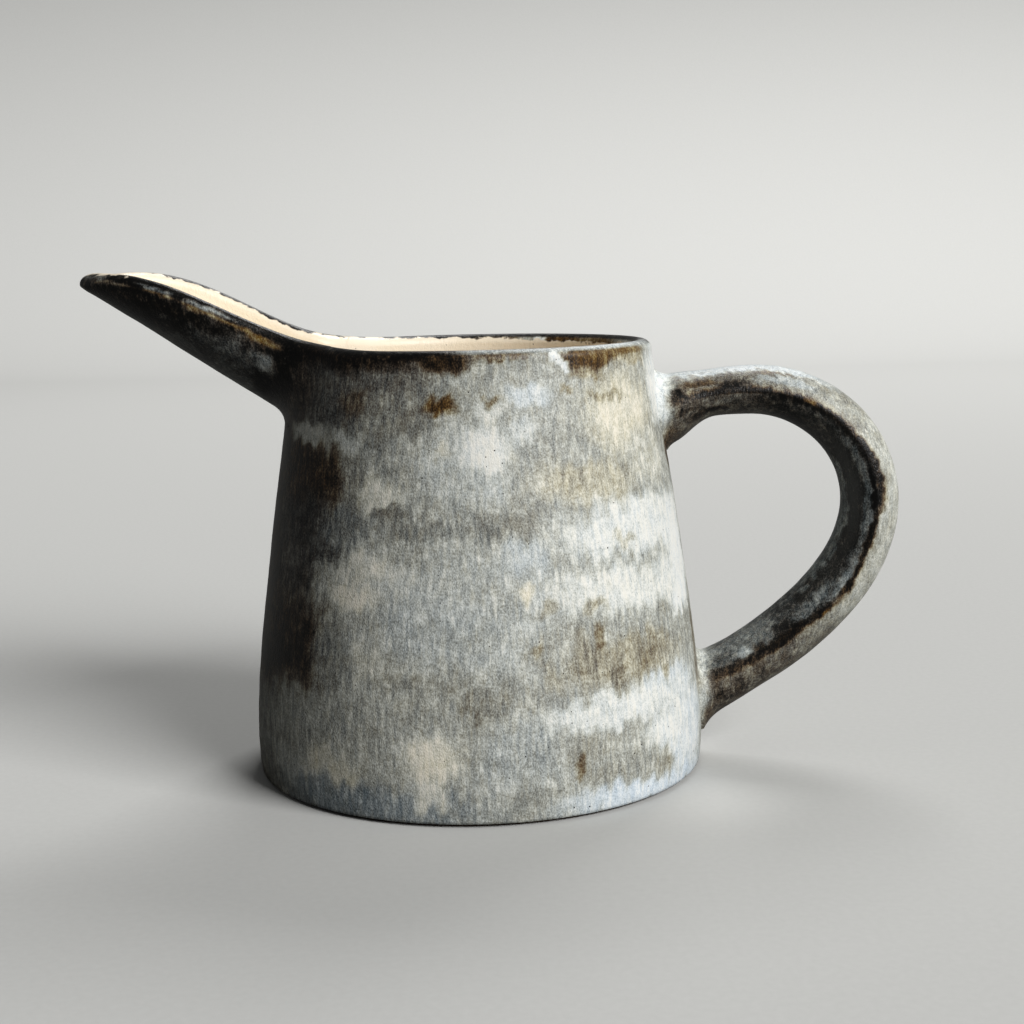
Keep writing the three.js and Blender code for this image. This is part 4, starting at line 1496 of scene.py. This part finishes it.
def build_glaze(material):
    tree, shader, place = start_material(material)
    fields = add_fields(tree, place)
    colour, tone = add_runny_colour(tree, fields)
    colour = add_liner(tree, fields, colour)
    pit = add_pinholes(tree, place)
    pitted = {0: pit, 6: colour, 7: linear(PINHOLE_COLOUR)}
    rough = {"Value": tone, "To Min": GLAZE_ROUGHNESS[0], "To Max": GLAZE_ROUGHNESS[1]}
    relief = fields["grain"]
    for name, height in RELIEF.items():
        raised = {0: fields[name], 1: height, 2: relief}
        relief = add(tree, "ShaderNodeMath", raised, operation="MULTIPLY_ADD")[0]
    relief = add(tree, "ShaderNodeMath", {0: relief, 1: pit}, operation="SUBTRACT")[0]
    bump = {"Height": relief, "Strength": RELIEF_STRENGTH, "Distance": RELIEF_HEIGHT}
    feed(tree, shader, {
        "Base Color": add(tree, "ShaderNodeMix", pitted, data_type="RGBA")[2],
        "Roughness": add(tree, "ShaderNodeMapRange", rough)[0],
        "IOR": GLAZE_IOR,
        "Specular IOR Level": GLAZE_SHINE,
        "Normal": add(tree, "ShaderNodeBump", bump)[0],
    })


build_glaze(glaze)
print("glaze nodes", len(glaze.node_tree.nodes))

# %% [markdown]
# ## Bare clay
# The wiped foot shows the fired body itself: a dark, iron-bearing stoneware, matt and slightly sandy. A fine
# noise gives it grit of about half a millimetre and a coarser one gives it darker scorched places.

# %% Build the bare clay
CLAY_COLOURS = ("#2a1f17", "#54412f")
SAND_COLOUR = "#8a7460"
SCORCH_SIZE = 9 * MM
GRIT_SIZE = 0.5 * MM
GRIT_STRENGTH = 0.4
GRIT_HEIGHT = 0.2 * MM
CLAY_ROUGHNESS = 0.85


def build_clay(material):
    tree, shader, place = start_material(material)
    grit, scorch = [
        add(tree, "ShaderNodeTexNoise", {"Vector": place, "Scale": 1 / size, "Detail": detail})["Fac"]
        for size, detail in ((GRIT_SIZE, 3.0), (SCORCH_SIZE, 2.0))
    ]
    body = {0: scorch, 6: linear(CLAY_COLOURS[0]), 7: linear(CLAY_COLOURS[1])}
    sandy = {0: grit, 6: add(tree, "ShaderNodeMix", body, data_type="RGBA")[2], 7: linear(SAND_COLOUR)}
    bump = {"Height": grit, "Strength": GRIT_STRENGTH, "Distance": GRIT_HEIGHT}
    feed(tree, shader, {
        "Base Color": add(tree, "ShaderNodeMix", sandy, data_type="RGBA", blend_type="OVERLAY")[2],
        "Roughness": CLAY_ROUGHNESS,
        "Normal": add(tree, "ShaderNodeBump", bump)[0],
    })


build_clay(clay)
print("clay nodes", len(clay.node_tree.nodes))

# %% [markdown]
# ## Hand over
# Each piece is hung on the body that it moves with, and the CAD nodes that it stands for are hidden. The
# jug is one rigid fired object, so everything rides on the one body.

# %% Tell the frame about the pieces
for piece, nodes, finish in (
    (wall, ("body_wall", "base_coil"), "streaked_glaze"),
    (base, ("base_disc",), "bare_stoneware"),
    (spout, ("spout", "spout_join_coil"), "dark_glaze"),
    (handle, ("handle", "handle_upper_coil", "handle_lower_coil"), "streaked_glaze"),
):
    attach(piece, "root")
    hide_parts(*nodes)
